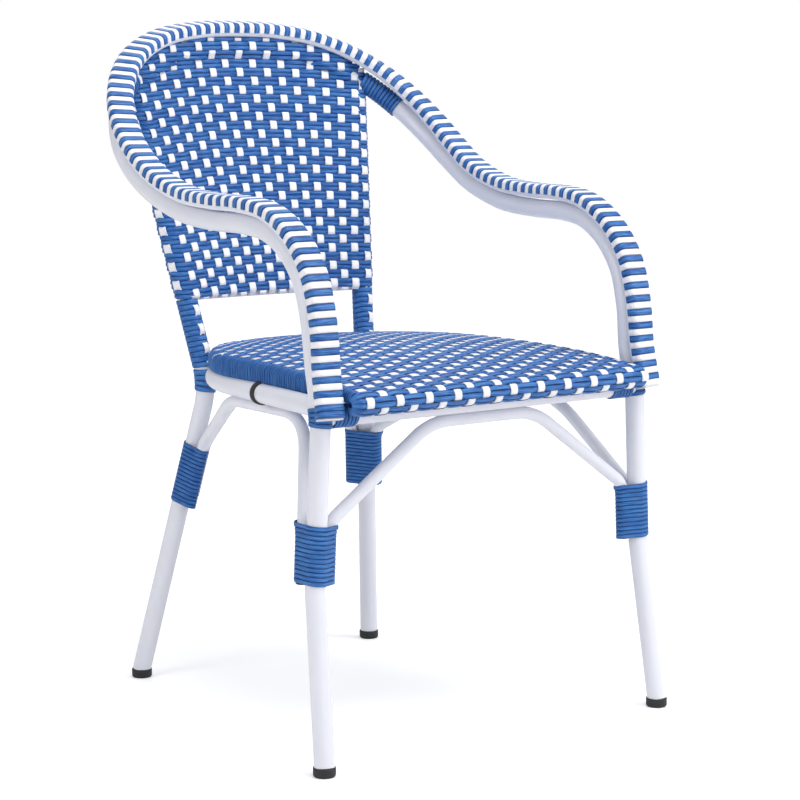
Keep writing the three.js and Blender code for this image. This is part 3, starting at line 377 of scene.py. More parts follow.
class StrandTree:
    """Geometry Nodes tree that runs a rounded section along every chain of edges in a mesh."""

    INPUTS = {
        "Geometry": "NodeSocketGeometry",
        "Width": "NodeSocketFloat",
        "Thickness": "NodeSocketFloat",
        "Squareness": "NodeSocketFloat",
        "Sides": "NodeSocketInt",
        "Finish": "NodeSocketMaterial",
    }

    def __init__(self) -> None:
        """Builds the tree."""
        self.tree = bpy.data.node_groups.new("strand_along_chain", "GeometryNodeTree")
        face = self.tree.interface
        for name, kind in self.INPUTS.items():
            face.new_socket(name, in_out="INPUT", socket_type=kind)
        face.new_socket("Geometry", in_out="OUTPUT", socket_type="NodeSocketGeometry")
        w = Wiring(self.tree)
        given = w.add("NodeGroupInput").outputs
        curve = w.add("GeometryNodeMeshToCurve", Mesh=given["Geometry"]).outputs["Curve"]
        outward = w.add(
            "GeometryNodeInputNamedAttribute", {"data_type": "FLOAT_VECTOR"}, Name="face_out"
        ).outputs["Attribute"]
        turned_curve = w.add(
            "GeometryNodeSetCurveNormal", {"mode": "FREE"}, Curve=curve, Normal=outward
        ).outputs["Curve"]
        section = self._section(w, given)
        shape = w.add(
            "GeometryNodeCurveToMesh", Curve=turned_curve, Profile_Curve=section, Fill_Caps=True
        ).outputs["Mesh"]
        for kind, inputs in (
            ("GeometryNodeSetShadeSmooth", {}),
            ("GeometryNodeRealizeInstances", {}),
            ("GeometryNodeSetMaterial", {"Material": given["Finish"]}),
        ):
            shape = w.add(kind, Geometry=shape, **inputs).outputs["Geometry"]
        w.add("NodeGroupOutput", Geometry=shape)

    def _section(self, w: Wiring, given: bpy.types.bpy_prop_collection) -> NodeSocket:
        """Section curve whose points also say how far to the side they lie."""
        kind = "GeometryNodeCurvePrimitiveCircle"
        ring = w.add(kind, {"mode": "RADIUS"}, Resolution=given["Sides"])
        factor = w.add("GeometryNodeSplineParameter").outputs["Factor"]
        angle = w.math("MULTIPLY", factor, TURN)
        reach = []
        for turn in ("COSINE", "SINE"):
            wave = w.math(turn, angle)
            size = w.math("POWER", w.math("ABSOLUTE", wave), given["Squareness"])
            reach.append(w.math("MULTIPLY", w.math("SIGN", wave), size))
        kept = w.add(
            "GeometryNodeStoreNamedAttribute",
            {"data_type": "FLOAT"},
            Geometry=ring.outputs["Curve"],
            Name="side",
            Value=reach[1],
        ).outputs["Geometry"]
        sizes = [
            w.math("MULTIPLY", share, w.math("MULTIPLY", given[size], 0.5))
            for share, size in zip(reach, ("Thickness", "Width"))
        ]
        place = w.add("ShaderNodeCombineXYZ", X=sizes[0], Y=sizes[1]).outputs[0]
        return w.add("GeometryNodeSetPosition", Geometry=kept, Position=place).outputs["Geometry"]

    def grow(self, name: str, strands: Sequence[Strand], size: Section, finish: Material) -> Object:
        """Runs the tree on some strands and returns the result as a plain mesh object.

        Args:
            name: Name of the piece.
            strands: Its strands.
            size: The section that runs along them.
            finish: The material.

        Returns:
            The piece.
        """
        piece = new_object(name, chain_mesh(name, strands))
        modifier = piece.modifiers.new("strands", "NODES")
        modifier.node_group = self.tree
        values = {
            "Width": size.width * MM,
            "Thickness": size.thickness * MM,
            "Squareness": size.squareness,
            "Sides": size.sides,
            "Finish": finish,
        }
        for item in self.tree.interface.items_tree:
            if item.in_out == "INPUT" and item.name in values:
                modifier[item.identifier] = values[item.name]
        graph = bpy.context.evaluated_depsgraph_get()
        mesh = bpy.data.meshes.new_from_object(piece.evaluated_get(graph))
        piece.modifiers.clear()
        bare, piece.data = piece.data, mesh
        bpy.data.meshes.remove(bare)
        mesh.name = name
        return piece


def ring_surface(name: str, rings: Array, finish: Material) -> Object:
    """Closed smooth body through rings of points, with a face over each end.

    Args:
        name: Name of the piece.
        rings: Array of rings, each a row of points in millimetres.
        finish: The material.

    Returns:
        The piece.
    """
    count, sides, _ = rings.shape
    here = np.arange(sides)
    ahead = (here + 1) % sides
    band = np.stack([here, ahead, ahead + sides, here + sides], axis=1)
    faces = [quad for r in range(count - 1) for quad in (band + r * sides).tolist()]
    faces += [here[::-1].tolist(), (here + (count - 1) * sides).tolist()]
    mesh = bpy.data.meshes.new(name)
    mesh.from_pydata((rings.reshape(-1, 3) * MM).tolist(), [], faces)
    mesh.validate()
    mesh.polygons.foreach_set("use_smooth", [len(face) == 4 for face in faces])
    mesh.materials.append(finish)
    face_outwards(mesh)
    return new_object(name, mesh)


def face_outwards(mesh: Mesh) -> None:
    """Turns a closed mesh's faces over if its volume comes out negative."""
    mesh.calc_loop_triangles()
    points = np.array([v.co[:] for v in mesh.vertices])
    tris = np.array([t.vertices[:] for t in mesh.loop_triangles])
    a, b, c = points[tris[:, 0]], points[tris[:, 1]], points[tris[:, 2]]
    if np.einsum("ij,ij->i", a, np.cross(b, c)).sum() < 0.0:
        mesh.flip_normals()


def turned(profile: Sequence[Pair], foot: Array, axis: Array, sides: int = 40) -> Array:
    """Rings of a turned body.

    Args:
        profile: Radius and height of each ring, from the first end to the other.
        foot: Point on the axis at height nought.
        axis: Direction of the axis.
        sides: Points in each ring.

    Returns:
        The rings' points.
    """
    axis = unit(axis)
    first = unit(np.cross(axis, UP if abs(axis[2]) < 0.9 else SIDEWAYS))
    second = np.cross(axis, first)
    angles = np.linspace(0.0, TURN, sides, endpoint=False)
    circle = np.outer(np.cos(angles), first) + np.outer(np.sin(angles), second)
    return np.array([foot + axis * height + circle * radius for radius, height in profile])


# ---- Finishes


def effect_group(name: str, sockets_in: dict[str, float], sockets_out: Sequence[str]) -> NodeTree:
    """Empty shader group with named float inputs and outputs."""
    tree = bpy.data.node_groups.new(name, "ShaderNodeTree")
    for key, value in sockets_in.items():
        socket = tree.interface.new_socket(key, in_out="INPUT", socket_type="NodeSocketFloat")
        socket.default_value = value
    for key in sockets_out:
        tree.interface.new_socket(key, in_out="OUTPUT", socket_type="NodeSocketFloat")
    return tree


def fine_grain_group() -> NodeTree:
    """Group that puts out a soft patchy mask and a fine height, both from Object coordinates."""
    scales = {"Patch Scale": 12.0, "Grain Scale": 900.0}
    tree = effect_group("fine_grain", scales, ("Patches", "Grain"))
    w = Wiring(tree)
    given = w.add("NodeGroupInput").outputs
    where = w.add("ShaderNodeTexCoord").outputs["Object"]
    patch = w.add("ShaderNodeTexNoise", Vector=where, Scale=given["Patch Scale"], Detail=3.0)
    grain = w.add("ShaderNodeTexNoise", Vector=where, Scale=given["Grain Scale"], Detail=1.0)
    w.add("NodeGroupOutput", Patches=patch.outputs[0], Grain=grain.outputs[0])
    return tree


def strand_group() -> NodeTree:
    """Group that reads a strand's own attributes: its rim for painted shade, drawn ribs, streaks
    that also paint highlights, and tone.
    """
    tree = effect_group(
        "drawn_strand",
        {"Rib Count": 4.0, "Rim Power": 3.0, "Streak Length": 60.0},
        ("Rim", "Ribs", "Streaks", "Tone"),
    )
    w = Wiring(tree)
    given = w.add("NodeGroupInput").outputs
    side, run, tone = (
        w.add("ShaderNodeAttribute", {"attribute_name": name}).outputs["Fac"]
        for name in ("side", "run", "tone")
    )
    # Mask that grows towards the strand's edges, where the rim colour paints shade into the
    # grooves.
    rim = w.math("POWER", w.math("ABSOLUTE", side), given["Rim Power"])
    rib_turns = w.math("MULTIPLY", given["Rib Count"], math.pi)
    ribs = w.math("COSINE", w.math("MULTIPLY", side, rib_turns))
    lie = w.add(
        "ShaderNodeCombineXYZ",
        X=w.math("MULTIPLY", side, 3.0),
        Y=w.math("MULTIPLY", run, given["Streak Length"]),
        Z=w.math("MULTIPLY", tone, 31.0),
    )
    # Noise drawn along the strand: resin streaks, which the colour also uses as painted highlight.
    streaks = w.add("ShaderNodeTexNoise", Vector=lie.outputs[0], Scale=1.0, Detail=3.0)
    w.add("NodeGroupOutput", Rim=rim, Ribs=ribs, Streaks=streaks.outputs[0], Tone=tone)
    return tree


def linear(colour: Triple) -> tuple[float, float, float, float]:
    """Colour given as seen on a screen, from 0 to 255, as the linear one that a shader takes."""
    parts = [part / 255.0 for part in colour]
    low = [part / 12.92 if part <= 0.04045 else ((part + 0.055) / 1.055) ** 2.4 for part in parts]
    return (low[0], low[1], low[2], 1.0)


def blended(w: Wiring, share: object, first: object, second: object) -> NodeSocket:
    """Colour socket between two colours or colour sockets."""
    return w.add("ShaderNodeMix", {"data_type": "RGBA"}, i0=share, i6=first, i7=second).outputs[2]


def in_range(w: Wiring, value: object, new: Pair, old: Pair = (0.0, 1.0)) -> NodeSocket:
    """Socket that carries a value from its old range over to a new one."""
    ends = {"From_Min": old[0], "From_Max": old[1], "To_Min": new[0], "To_Max": new[1]}
    return w.add("ShaderNodeMapRange", Value=value, **ends).outputs[0]


@dataclass(frozen=True, kw_only=True)
class Finish:
    """What all the finishes share: a base roughness, how far it strays, and a fine relief."""

    name: str
    roughness: float
    stray: Pair
    scales: Pair
    relief: float
    relief_depth: float

    def _started(self, grain: NodeTree) -> tuple[Wiring, Material, dict]:
        """Empty material, its wiring and the grain group's outputs."""
        material = bpy.data.materials.new(self.name)
        w = Wiring.emptied(material)
        patch, fine = self.scales
        spots = w.add("ShaderNodeGroup", {"node_tree": grain}, Patch_Scale=patch, Grain_Scale=fine)
        return w, material, spots.outputs

    def _shaded(
        self, w: Wiring, colour: object, where: object, height: object, sheen: float
    ) -> None:
        """Joins colour, roughness and relief to a Principled shader, and that to the output.

        Args:
            w: The material's wiring.
            colour: Socket of the base colour.
            where: Socket that says, from 0 to 1, how rough each place is.
            height: Socket of the relief's height.
            sheen: Level of the mirror-like part.
        """
        low, high = self.stray
        bump = w.add(
            "ShaderNodeBump", Height=height, Strength=self.relief, Distance=self.relief_depth
        )
        shader = w.add(
            "ShaderNodeBsdfPrincipled",
            Base_Color=colour,
            Roughness=in_range(w, where, (self.roughness + low, self.roughness + high)),
            Normal=bump.outputs[0],
            Specular_IOR_Level=sheen,
        )
        w.add("ShaderNodeOutputMaterial", Surface=shader.outputs[0])


@dataclass(frozen=True, kw_only=True)
class PatchyFinish(Finish):
    """Sprayed or moulded surface: two close tones in soft patches, with a fine relief."""

    body: Triple
    patch: Triple
    sheen: float = 0.5

    def make(self, grain: NodeTree) -> Material:
        """Builds the material."""
        w, material, spots = self._started(grain)
        colour = blended(w, spots["Patches"], linear(self.body), linear(self.patch))
        self._shaded(w, colour, spots["Patches"], spots["Grain"], self.sheen)
        return material


@dataclass(frozen=True, kw_only=True)
class StrandFinish(Finish):
    """Extruded resin strand: ribs drawn along it, painted shade at its rims, streaks that are
    partly painted highlight, and a tone for each strand.
    """

    # Pale colour that streaks and tone blend towards; its streaks are partly painted highlight.
    light: Triple
    body: Triple
    # Painted shade at the strand's rims, for the grooves between strands.
    rim: Triple
    roughness: float = 0.36
    stray: Pair = (-0.08, 0.1)
    scales: Pair = (40.0, 1500.0)
    relief: float = 0.5
    relief_depth: float = 0.00022
    sheen: float = 0.4
    rib_count: float = 3.0
    rim_share: float = 0.85
    streak_range: Pair = (0.3, 0.7)
    streak_share: float = 0.8
    tone_share: float = 0.2
    grain_share: float = 0.35

    def make(self, grain: NodeTree, strand: NodeTree) -> Material:
        """Builds the material."""
        w, material, spots = self._started(grain)
        lie = w.add("ShaderNodeGroup", {"node_tree": strand}, Rib_Count=self.rib_count).outputs
        # Streaks blend the body towards the pale colour: part resin streak, part painted highlight.
        streak_and_highlight = in_range(w, lie["Streaks"], (0.0, self.streak_share), self.streak_range)
        mixed = w.math("ADD", streak_and_highlight, w.math("MULTIPLY", lie["Tone"], self.tone_share))
        colour = blended(w, mixed, linear(self.body), linear(self.light))
        # The rims blend towards the rim colour: painted shade in the grooves between strands.
        share = w.math("MULTIPLY", lie["Rim"], self.rim_share)
        rim_shaded = blended(w, share, colour, linear(self.rim))
        height = w.math("ADD", lie["Ribs"], w.math("MULTIPLY", spots["Grain"], self.grain_share))
        self._shaded(w, rim_shaded, lie["Streaks"], height, self.sheen)
        return material


def all_finishes() -> dict[str, Material]:
    """The chair's finishes by name, each made once."""
    grain, strand = fine_grain_group(), strand_group()
    paint = PatchyFinish(
        name="white_powder_coat",
        body=(232, 233, 241),
        patch=(226, 228, 238),
        roughness=0.34,
        stray=(-0.05, 0.07),
        scales=(14.0, 520.0),
        relief=0.25,
        relief_depth=0.00012,
    )
    rubber = PatchyFinish(
        name="black_moulded_rubber",
        body=(26, 26, 28),
        patch=(46, 46, 49),
        roughness=0.55,
        stray=(-0.08, 0.15),
        scales=(90.0, 1800.0),
        relief=0.4,
        relief_depth=0.0002,
    )
    # Each strand finish's pale colour carries painted highlight streaks, and its rim colour painted
    # shade in the grooves.
    blue = StrandFinish(
        name="blue_strand_finish",
        light=(78, 138, 204),
        body=(0, 66, 147),
        rim=(0, 34, 92),
        sheen=0.26,
    )
    white = StrandFinish(
        name="white_strand_finish",
        light=(244, 244, 248),
        body=(236, 236, 242),
        rim=(205, 207, 220),
        rib_count=5.0,
        relief_depth=0.00012,
        rim_share=0.5,
    )
    patchy = {"paint": paint.make(grain), "rubber": rubber.make(grain)}
    return patchy | {"blue": blue.make(grain, strand), "white": white.make(grain, strand)}


# ---- Workshop


class Look(Enum):
    """A piece's finish, paired with the name of one of the record's material slots."""

    PAINT = ("paint", "white_paint")
    RUBBER = ("rubber", "black_rubber")
    BLUE_STRIPE = ("blue", "striped_wrap")
    WHITE_STRIPE = ("white", "striped_wrap")
    BLUE_WEAVE = ("blue", "woven_strand")
    WHITE_WEAVE = ("white", "woven_strand")
    BLUE_WINDING = ("blue", "blue_strand")


class Workshop:
    """Makes pieces, and tells the frame what each one stands for."""

    ROUND_SIDES = 28
    ASKEW = (0.3, 0.4, 0.85)

    def __init__(self) -> None:
        """Makes the finishes, the strand tree and a fixed source of small differences."""
        self.finishes = all_finishes()
        self.tree = StrandTree()
        self.chance = np.random.default_rng(20)

    def tone(self) -> float:
        """Tone of the next strand."""
        return float(self.chance.uniform(0.0, 1.0))

    def settle(self, piece: Object, nodes: Sequence[str]) -> None:
        """Hands a finished piece to the frame, with the CAD nodes that it stands for."""
        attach(piece, "root")
        if nodes:
            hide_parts(*nodes)
        faces, stands_for = len(piece.data.polygons), ", ".join(nodes) or "no node"
        LOG.info("%s: %d faces, stands for %s", piece.name, faces, stands_for)

    def strands(
        self, name: str, strands: Sequence[Strand], size: Section, look: Look, *nodes: str
    ) -> None:
        """Makes a piece of strands that share one section."""
        self.settle(self.tree.grow(name, strands, size, self.finishes[look.value[0]]), nodes)

    def body(self, name: str, rings: Array, look: Look, *nodes: str) -> None:
        """Makes a closed piece through rings of points."""
        self.settle(ring_surface(name, rings, self.finishes[look.value[0]]), nodes)

    def tube(self, name: str, points: Array, diameter: float, *nodes: str) -> None:
        """Makes a painted round tube along a route."""
        stations = Stations.carried(points, unit(np.cross(points[1] - points[0], self.ASKEW)))
        size = Section(diameter, diameter, sides=self.ROUND_SIDES)
        self.strands(name, [Strand(stations.points, stations.out)], size, Look.PAINT, *nodes)


# ---- Frame


@dataclass
class Hoop:
    """Crest hoop: flat-sided white tube, striped in blue and white strand round three sides."""

    width: float = 35.0
    thickness: float = 20.5
    corner: float = 6.0
    inner_corner: float = 4.5
    inset: float = 1.5
    wrap_depth: float = 13.0
    stripe_pitch: float = 16.95
    end_turns: Pair = (4.4, 12.4)
    first_white: float = 20.2
    first_turn: float = 28.2
    last_turn: float = 11.9
    last_white: float = 4.2
    strand: Section = Section(8.45, 1.6, 0.6, 8)
    half_span: float = 262.0
    back: float = 296.3
    reach: float = 582.0
    end_height: float = 426.2
    rise: float = 462.6
    lean: float = 0.15
    cap_thickness: float = 2.0
    cap_start: Pair = (0.3, 1.6)
    knot_steps: int = 24
    station_count: int = 601
    corner_steps: int = 7
    stripe_steps: int = 6
    cap_taper: float = 0.95
    route_shares: tuple[tuple[float, float, float], ...] = (
        (0.000, 0.000, 1.000), (0.242, 0.005, 0.995), (0.490, 0.025, 0.971), (0.686, 0.060, 0.925),
        (0.817, 0.102, 0.870), (0.914, 0.153, 0.803), (0.973, 0.211, 0.731), (0.997, 0.275, 0.660),
        (0.996, 0.362, 0.589), (0.988, 0.478, 0.541), (0.982, 0.598, 0.527), (0.971, 0.701, 0.524),
        (0.961, 0.784, 0.509), (0.955, 0.845, 0.475), (0.953, 0.897, 0.423), (0.953, 0.941, 0.346),
        (0.953, 0.968, 0.235), (0.955, 0.980, 0.117), (0.964, 1.000, 0.000),
    )

    def __post_init__(self) -> None:
        """Lays out the centre line, from the left front end over the crest to the right one."""
        across, ahead, up = np.array(self.route_shares).T
        y, z = self.back - ahead * self.reach, self.end_height + up * self.rise
        right = np.stack([across * self.half_span, y, z], axis=1)
        fine = catmull_rom(np.vstack([Side.LEFT.flip(right[:0:-1]), right]), self.knot_steps)
        points = sampled(fine, np.linspace(0.0, lengths_along(fine)[-1], self.station_count))
        self.stations = Stations.level(points, self.upward)

    @property
    def upward(self) -> Array:
        """Direction in which the hoop's flat sides are level."""
        return np.array([0.0, -self.lean, 1.0])

    @property
    def half(self) -> Stations:
        """Stations of the right half, from the crest to the front end."""
        return self.stations.part(slice(len(self.stations.points) // 2, None))

    @property
    def _half_size(self) -> Pair:
        """Half of the bare tube's width and of its thickness."""
        return self.width / 2 - self.inset, self.thickness / 2 - self.inset

    def _section(self) -> Array:
        """Outline of the bare tube: distances outwards and across."""
        wide, high = self._half_size
        corners = ((-high, wide, self.inner_corner, 180), (high, wide, self.corner, 90),
                   (high, -wide, self.corner, 0), (-high, -wide, self.inner_corner, 270))
        outline = []
        for out, across, radius, start in corners:
            corner = np.array([out, across])
            centre = corner - np.copysign(radius, corner)
            angles = np.radians(np.linspace(start, start - 90, self.corner_steps))
            outline.append(centre + radius * circle_at(angles))
        return np.vstack(outline)

    def _stripe_course(self) -> Array:
        """Course of one turn of strand from rim to rim: distances outwards and across."""
        lift = self.strand.thickness / 2 + SKIN_GAP
        wide, high = (size + lift for size in self._half_size)
        radius = self.corner
        rim = self.thickness / 2 - self.wrap_depth
        corner = np.array([high - radius, wide - radius])
        quarter = circle_at(np.radians(np.linspace(90.0, 0.0, self.stripe_steps)))
        arc = corner + radius * quarter
        side = [[rim, wide], [(rim + high - radius) / 2, wide]]
        half = np.vstack([side, arc, [[high, wide / 3]]])
        return np.vstack([half, half[::-1] * [1.0, -1.0]])

    def _turn_places(self) -> tuple[Array, Array]:
        """Places of the blue turns and of the white ones, with two blue turns at the left end."""
        total = self.stations.run[-1]
        first, last = self.first_turn, total - self.last_turn
        blue = np.linspace(first, last, round((last - first) / self.stripe_pitch) + 1)
        between = (blue[1:] + blue[:-1]) / 2
        white = np.concatenate([[self.first_white], between, [total - self.last_white]])
        return np.concatenate([self.end_turns, blue]), white

    def _stripes(self, shop: Workshop, places: Array) -> list[Strand]:
        """Turns of the wrap at places along the hoop."""
        course = self._stripe_course()
        looks = normals_of(course)
        looks *= np.sign(np.sum(looks * course, axis=1, keepdims=True))
        strands = []
        for place in places:
            here = self.stations.at(np.full(len(course), place))
            out = here.out * looks[:, :1] + here.across * looks[:, 1:]
            strands.append(Strand(here.offset(*course.T), out, shop.tone()))
        return strands

    def build(self, shop: Workshop) -> None:
        """Makes the tube, its end caps and both colours of the wrap."""
        shop.body("hoop_tube", self.stations.swept(self._section()), Look.PAINT, "crest_hoop")
        end = self.half.at(self.half.run[-1] + np.array([*self.cap_start, self.cap_thickness]))
        rings = end.swept(self._section())
        rings[-1] = end.points[-1] + (rings[-1] - end.points[-1]) * self.cap_taper
        for side in Side:
            cap, node = f"{side.word}_hoop_cap", f"{side.word}_hoop_end_cap"
            shop.body(cap, side.flip(rings), Look.PAINT, node)
        blue, white = (self._stripes(shop, places) for places in self._turn_places())
        shop.strands("hoop_blue_turns", blue, self.strand, Look.BLUE_STRIPE, "hoop_striped_wrap")
        shop.strands("hoop_white_turns", white, self.strand, Look.WHITE_STRIPE)


@dataclass
class Legs:
    """Front legs that run on as arms, rear legs that run on as back uprights, and the feet."""

    hoop: Hoop
    diameter: float = 25.0
    arm_fit: float = 0.8
    arm_gap: float = 14.5
    binding_room: float = 4.3
    arm_ease: Pair = (129.5, 278.0)
    front_foot: Triple = (268.7, -296.3, 0.0)
    knee: Triple = (259.2, -263.3, 220.0)
    knee_radius: float = 150.0
    rear_foot: Triple = (196.7, 249.2, 0.0)
    rear_bend: Triple = (131.5, 169.5, 410.0)
    rear_bend_radius: float = 120.0
    upright_top: Triple = (188.2, 273.4, 836.0)
    upright_end: float = 833.0
    cap_height: float = 12.0
    cap_diameter: float = 27.6
    cap_grip: float = 1.0
    knee_steps: int = 8
    bend_steps: int = 14

    def _leg_point(self, foot: Triple, bend: Triple, top: Array, height: float) -> Array:
        """Centre of a leg with one bend at a height above the floor."""
        low, high = (bend, top) if height > bend[2] else (foot, bend)
        return at_height(np.array(low), np.array(high), height)

    def rear_axis(self, height: float) -> Array:
        """Centre of a rear leg or upright at a height above the floor."""
        return self._leg_point(self.rear_foot, self.rear_bend, self.upright_top, height)

    def front_axis(self, height: float) -> Array:
        """Centre of the right front leg at a height above the floor, below the hoop's end."""
        return self._leg_point(self.front_foot, self.knee, self.arm().points[-1], height)

    def arm(self) -> Stations:
        """Stations of the right arm tube, hung under the hoop from the upright to the front."""
        half = self.hoop.half
        reach = self.hoop.thickness / 2 + self.diameter / 2
        hung = half.points - half.out * (reach + self.binding_room)
        low = np.array(self.rear_bend)
        axis = unit(np.array(self.upright_top) - low)
        away = hung - low
        gaps = np.linalg.norm(away - np.outer(away @ axis, axis), axis=1)
        kept = half.part(slice(int(np.argmin(gaps)), None))
        hung = hung[-len(kept.points):]
        start, end = self.arm_ease
        ease = np.clip((lengths_along(hung) - start) / (end - start), 0.0, 1.0)
        points = hung + kept.out * (ease * (self.binding_room - self.arm_fit))[:, None]
        return Stations(points, tangents_of(points), kept.out, kept.across)

    def front(self) -> Stations:
        """Stations of the right front leg and arm, from the upright to the floor."""
        arm = self.arm()
        corners = [arm.points[-1], np.array(self.knee), np.array(self.front_foot)]
        leg = spaced(rounded_route(corners, [self.knee_radius], self.knee_steps), LEG_STEP)
        return Stations.level(np.vstack([arm.points[:-1], leg]), self.hoop.upward)

    def rear(self) -> Stations:
        """Stations of the right rear leg and upright, from the floor up."""
        foot, bend = np.array(self.rear_foot), np.array(self.rear_bend)
        corners = [foot, bend, self.rear_axis(self.upright_end)]
        route = rounded_route(corners, [self.rear_bend_radius], self.bend_steps)
        return Stations.carried(spaced(route, LEG_STEP), SIDEWAYS)

    def _cap_profile(self) -> list[Pair]:
        """Rings of a foot cap: domed sole, straight side and a thin lip at the top."""
        radius, high = self.cap_diameter / 2, self.cap_height
        return [
            (0.2, 0.0), (radius - 3.2, 0.0), (radius - 1.6, 0.4), (radius - 0.5, 1.5),
            (radius, 3.0), (radius, high - 2.4), (radius + 0.1, high - 1.0),
            (radius - 0.4, high - 0.1), (radius - 1.4, high), (0.2, high),
        ]

    def build(self, shop: Workshop) -> None:
        """Makes the four tubes and the four foot caps."""
        front, rear = self.front().points, self.rear().points
        first = sampled(front, np.array([self.arm_gap]))
        front = np.vstack([first, front[lengths_along(front) > self.arm_gap + 1.0]])
        low = self.cap_height - self.cap_grip
        tubes = (
            ("front", "arm", np.vstack([front[front[:, 2] > low], self.front_axis(low)])),
            ("rear", "upright", np.vstack([self.rear_axis(low), rear[rear[:, 2] > low]])),
        )
        feet = {"front": self.front_axis(self.cap_height), "rear": self.rear_axis(self.cap_height)}
        for side in Side:
            for leg, top, points in tubes:
                name, node = f"{side.word}_{top}_tube", f"{side.word}_{leg}_leg_and_{top}"
                shop.tube(name, side.flip(points), self.diameter, node)
            for leg, centre in feet.items():
                rings = turned(self._cap_profile(), side.flip(centre) * [1.0, 1.0, 0.0], UP)
                name = f"{side.word}_{leg}_foot"
                shop.body(name, rings, Look.RUBBER, f"{name}_cap")


@dataclass
class SeatRails:
    """Rails under the seat, the flat tabs behind them and the black rings on them."""

    legs: Legs
    height: float = 433.0
    arc_radius: float = 207.0
    arc_centre: float = -26.5
    fit: float = 0.3
    front_drop: float = 8.0
    arc_steps: int = 41
    tab: Section = Section(16.0, 4.0, 0.35, 16)
    tab_step: float = 6.0
    bumper_y: float = -88.0
    bumper_width: float = 9.0
    bumper_thickness: float = 2.0
    bumper_round: float = 0.6
    bumper_grip: float = 0.5

    def route(self, radius: float, front_x: float, front_y: float, height: float) -> Array:
        """Points of a bent rail or rod: straight sides and a round back."""
        away = np.array([front_x, front_y - self.arc_centre])
        angle = math.atan2(away[1], away[0]) + math.acos(radius / float(np.linalg.norm(away)))
        arc = circle_at(np.linspace(angle, math.pi / 2, self.arc_steps)) * radius
        arc = arc + [0.0, self.arc_centre]
        plan = np.vstack([[front_x, front_y], arc])
        right = np.column_stack([plan, np.full(len(plan), height)])
        return np.vstack([right, Side.LEFT.flip(right[:-1])[::-1]])

    def side_route(self) -> Array:
        """Points of the side rail's centre line, from the right front leg round to the left one."""
        leg = self.legs.front_axis(self.height)
        radius = self.legs.diameter / 2
        return self.route(self.arc_radius, leg[0] - radius + self.fit, leg[1] + radius, self.height)

    def front_route(self) -> Array:
        """The two ends of the front rail's centre line."""
        leg = self.legs.front_axis(self.height - self.front_drop)
        return np.array([leg, Side.LEFT.flip(leg)])

    def _tab(self) -> Array:
        """The two ends of the right rear tab's centre line."""
        height = self.height + self.legs.diameter / 2 - self.tab.thickness + self.fit
        upright = self.legs.rear_axis(height)
        centre = np.array([0.0, self.arc_centre, height])
        return np.array([centre + unit(upright - centre) * self.arc_radius, upright])

    def _bumper(self) -> Array:
        """Rings of the right black ring, closed round the side rail."""
        first, second = self.side_route()[:2]
        middle = first + (second - first) * (self.bumper_y - first[1]) / (second[1] - first[1])
        inner = self.legs.diameter / 2 - self.bumper_grip
        outer = self.legs.diameter / 2 + self.fit + self.bumper_thickness
        half, soft = self.bumper_width / 2, self.bumper_round
        ahead = [(outer, half - soft), (outer - soft, half), (inner, half)]
        behind = [(radius, -height) for radius, height in reversed(ahead)]
        return turned(behind + ahead, middle, second - first)

    def build(self, shop: Workshop) -> None:
        """Makes the rails, the tabs and the rings."""
        diameter = self.legs.diameter
        shop.tube("seat_rail_tube", spaced(self.side_route()), diameter, "seat_side_rail")
        shop.tube("front_rail_tube", spaced(self.front_route()), diameter, "seat_front_rail")
        for side in Side:
            tab = Strand(spaced(side.flip(self._tab()), self.tab_step), UP)
            name, node = f"{side.word}_seat_tab", f"{side.word}_rear_tab"
            shop.strands(name, [tab], self.tab, Look.PAINT, node)
            name, node = f"{side.word}_rail_ring", f"{side.word}_rail_bumper"
            shop.body(name, side.flip(self._bumper()), Look.RUBBER, node)


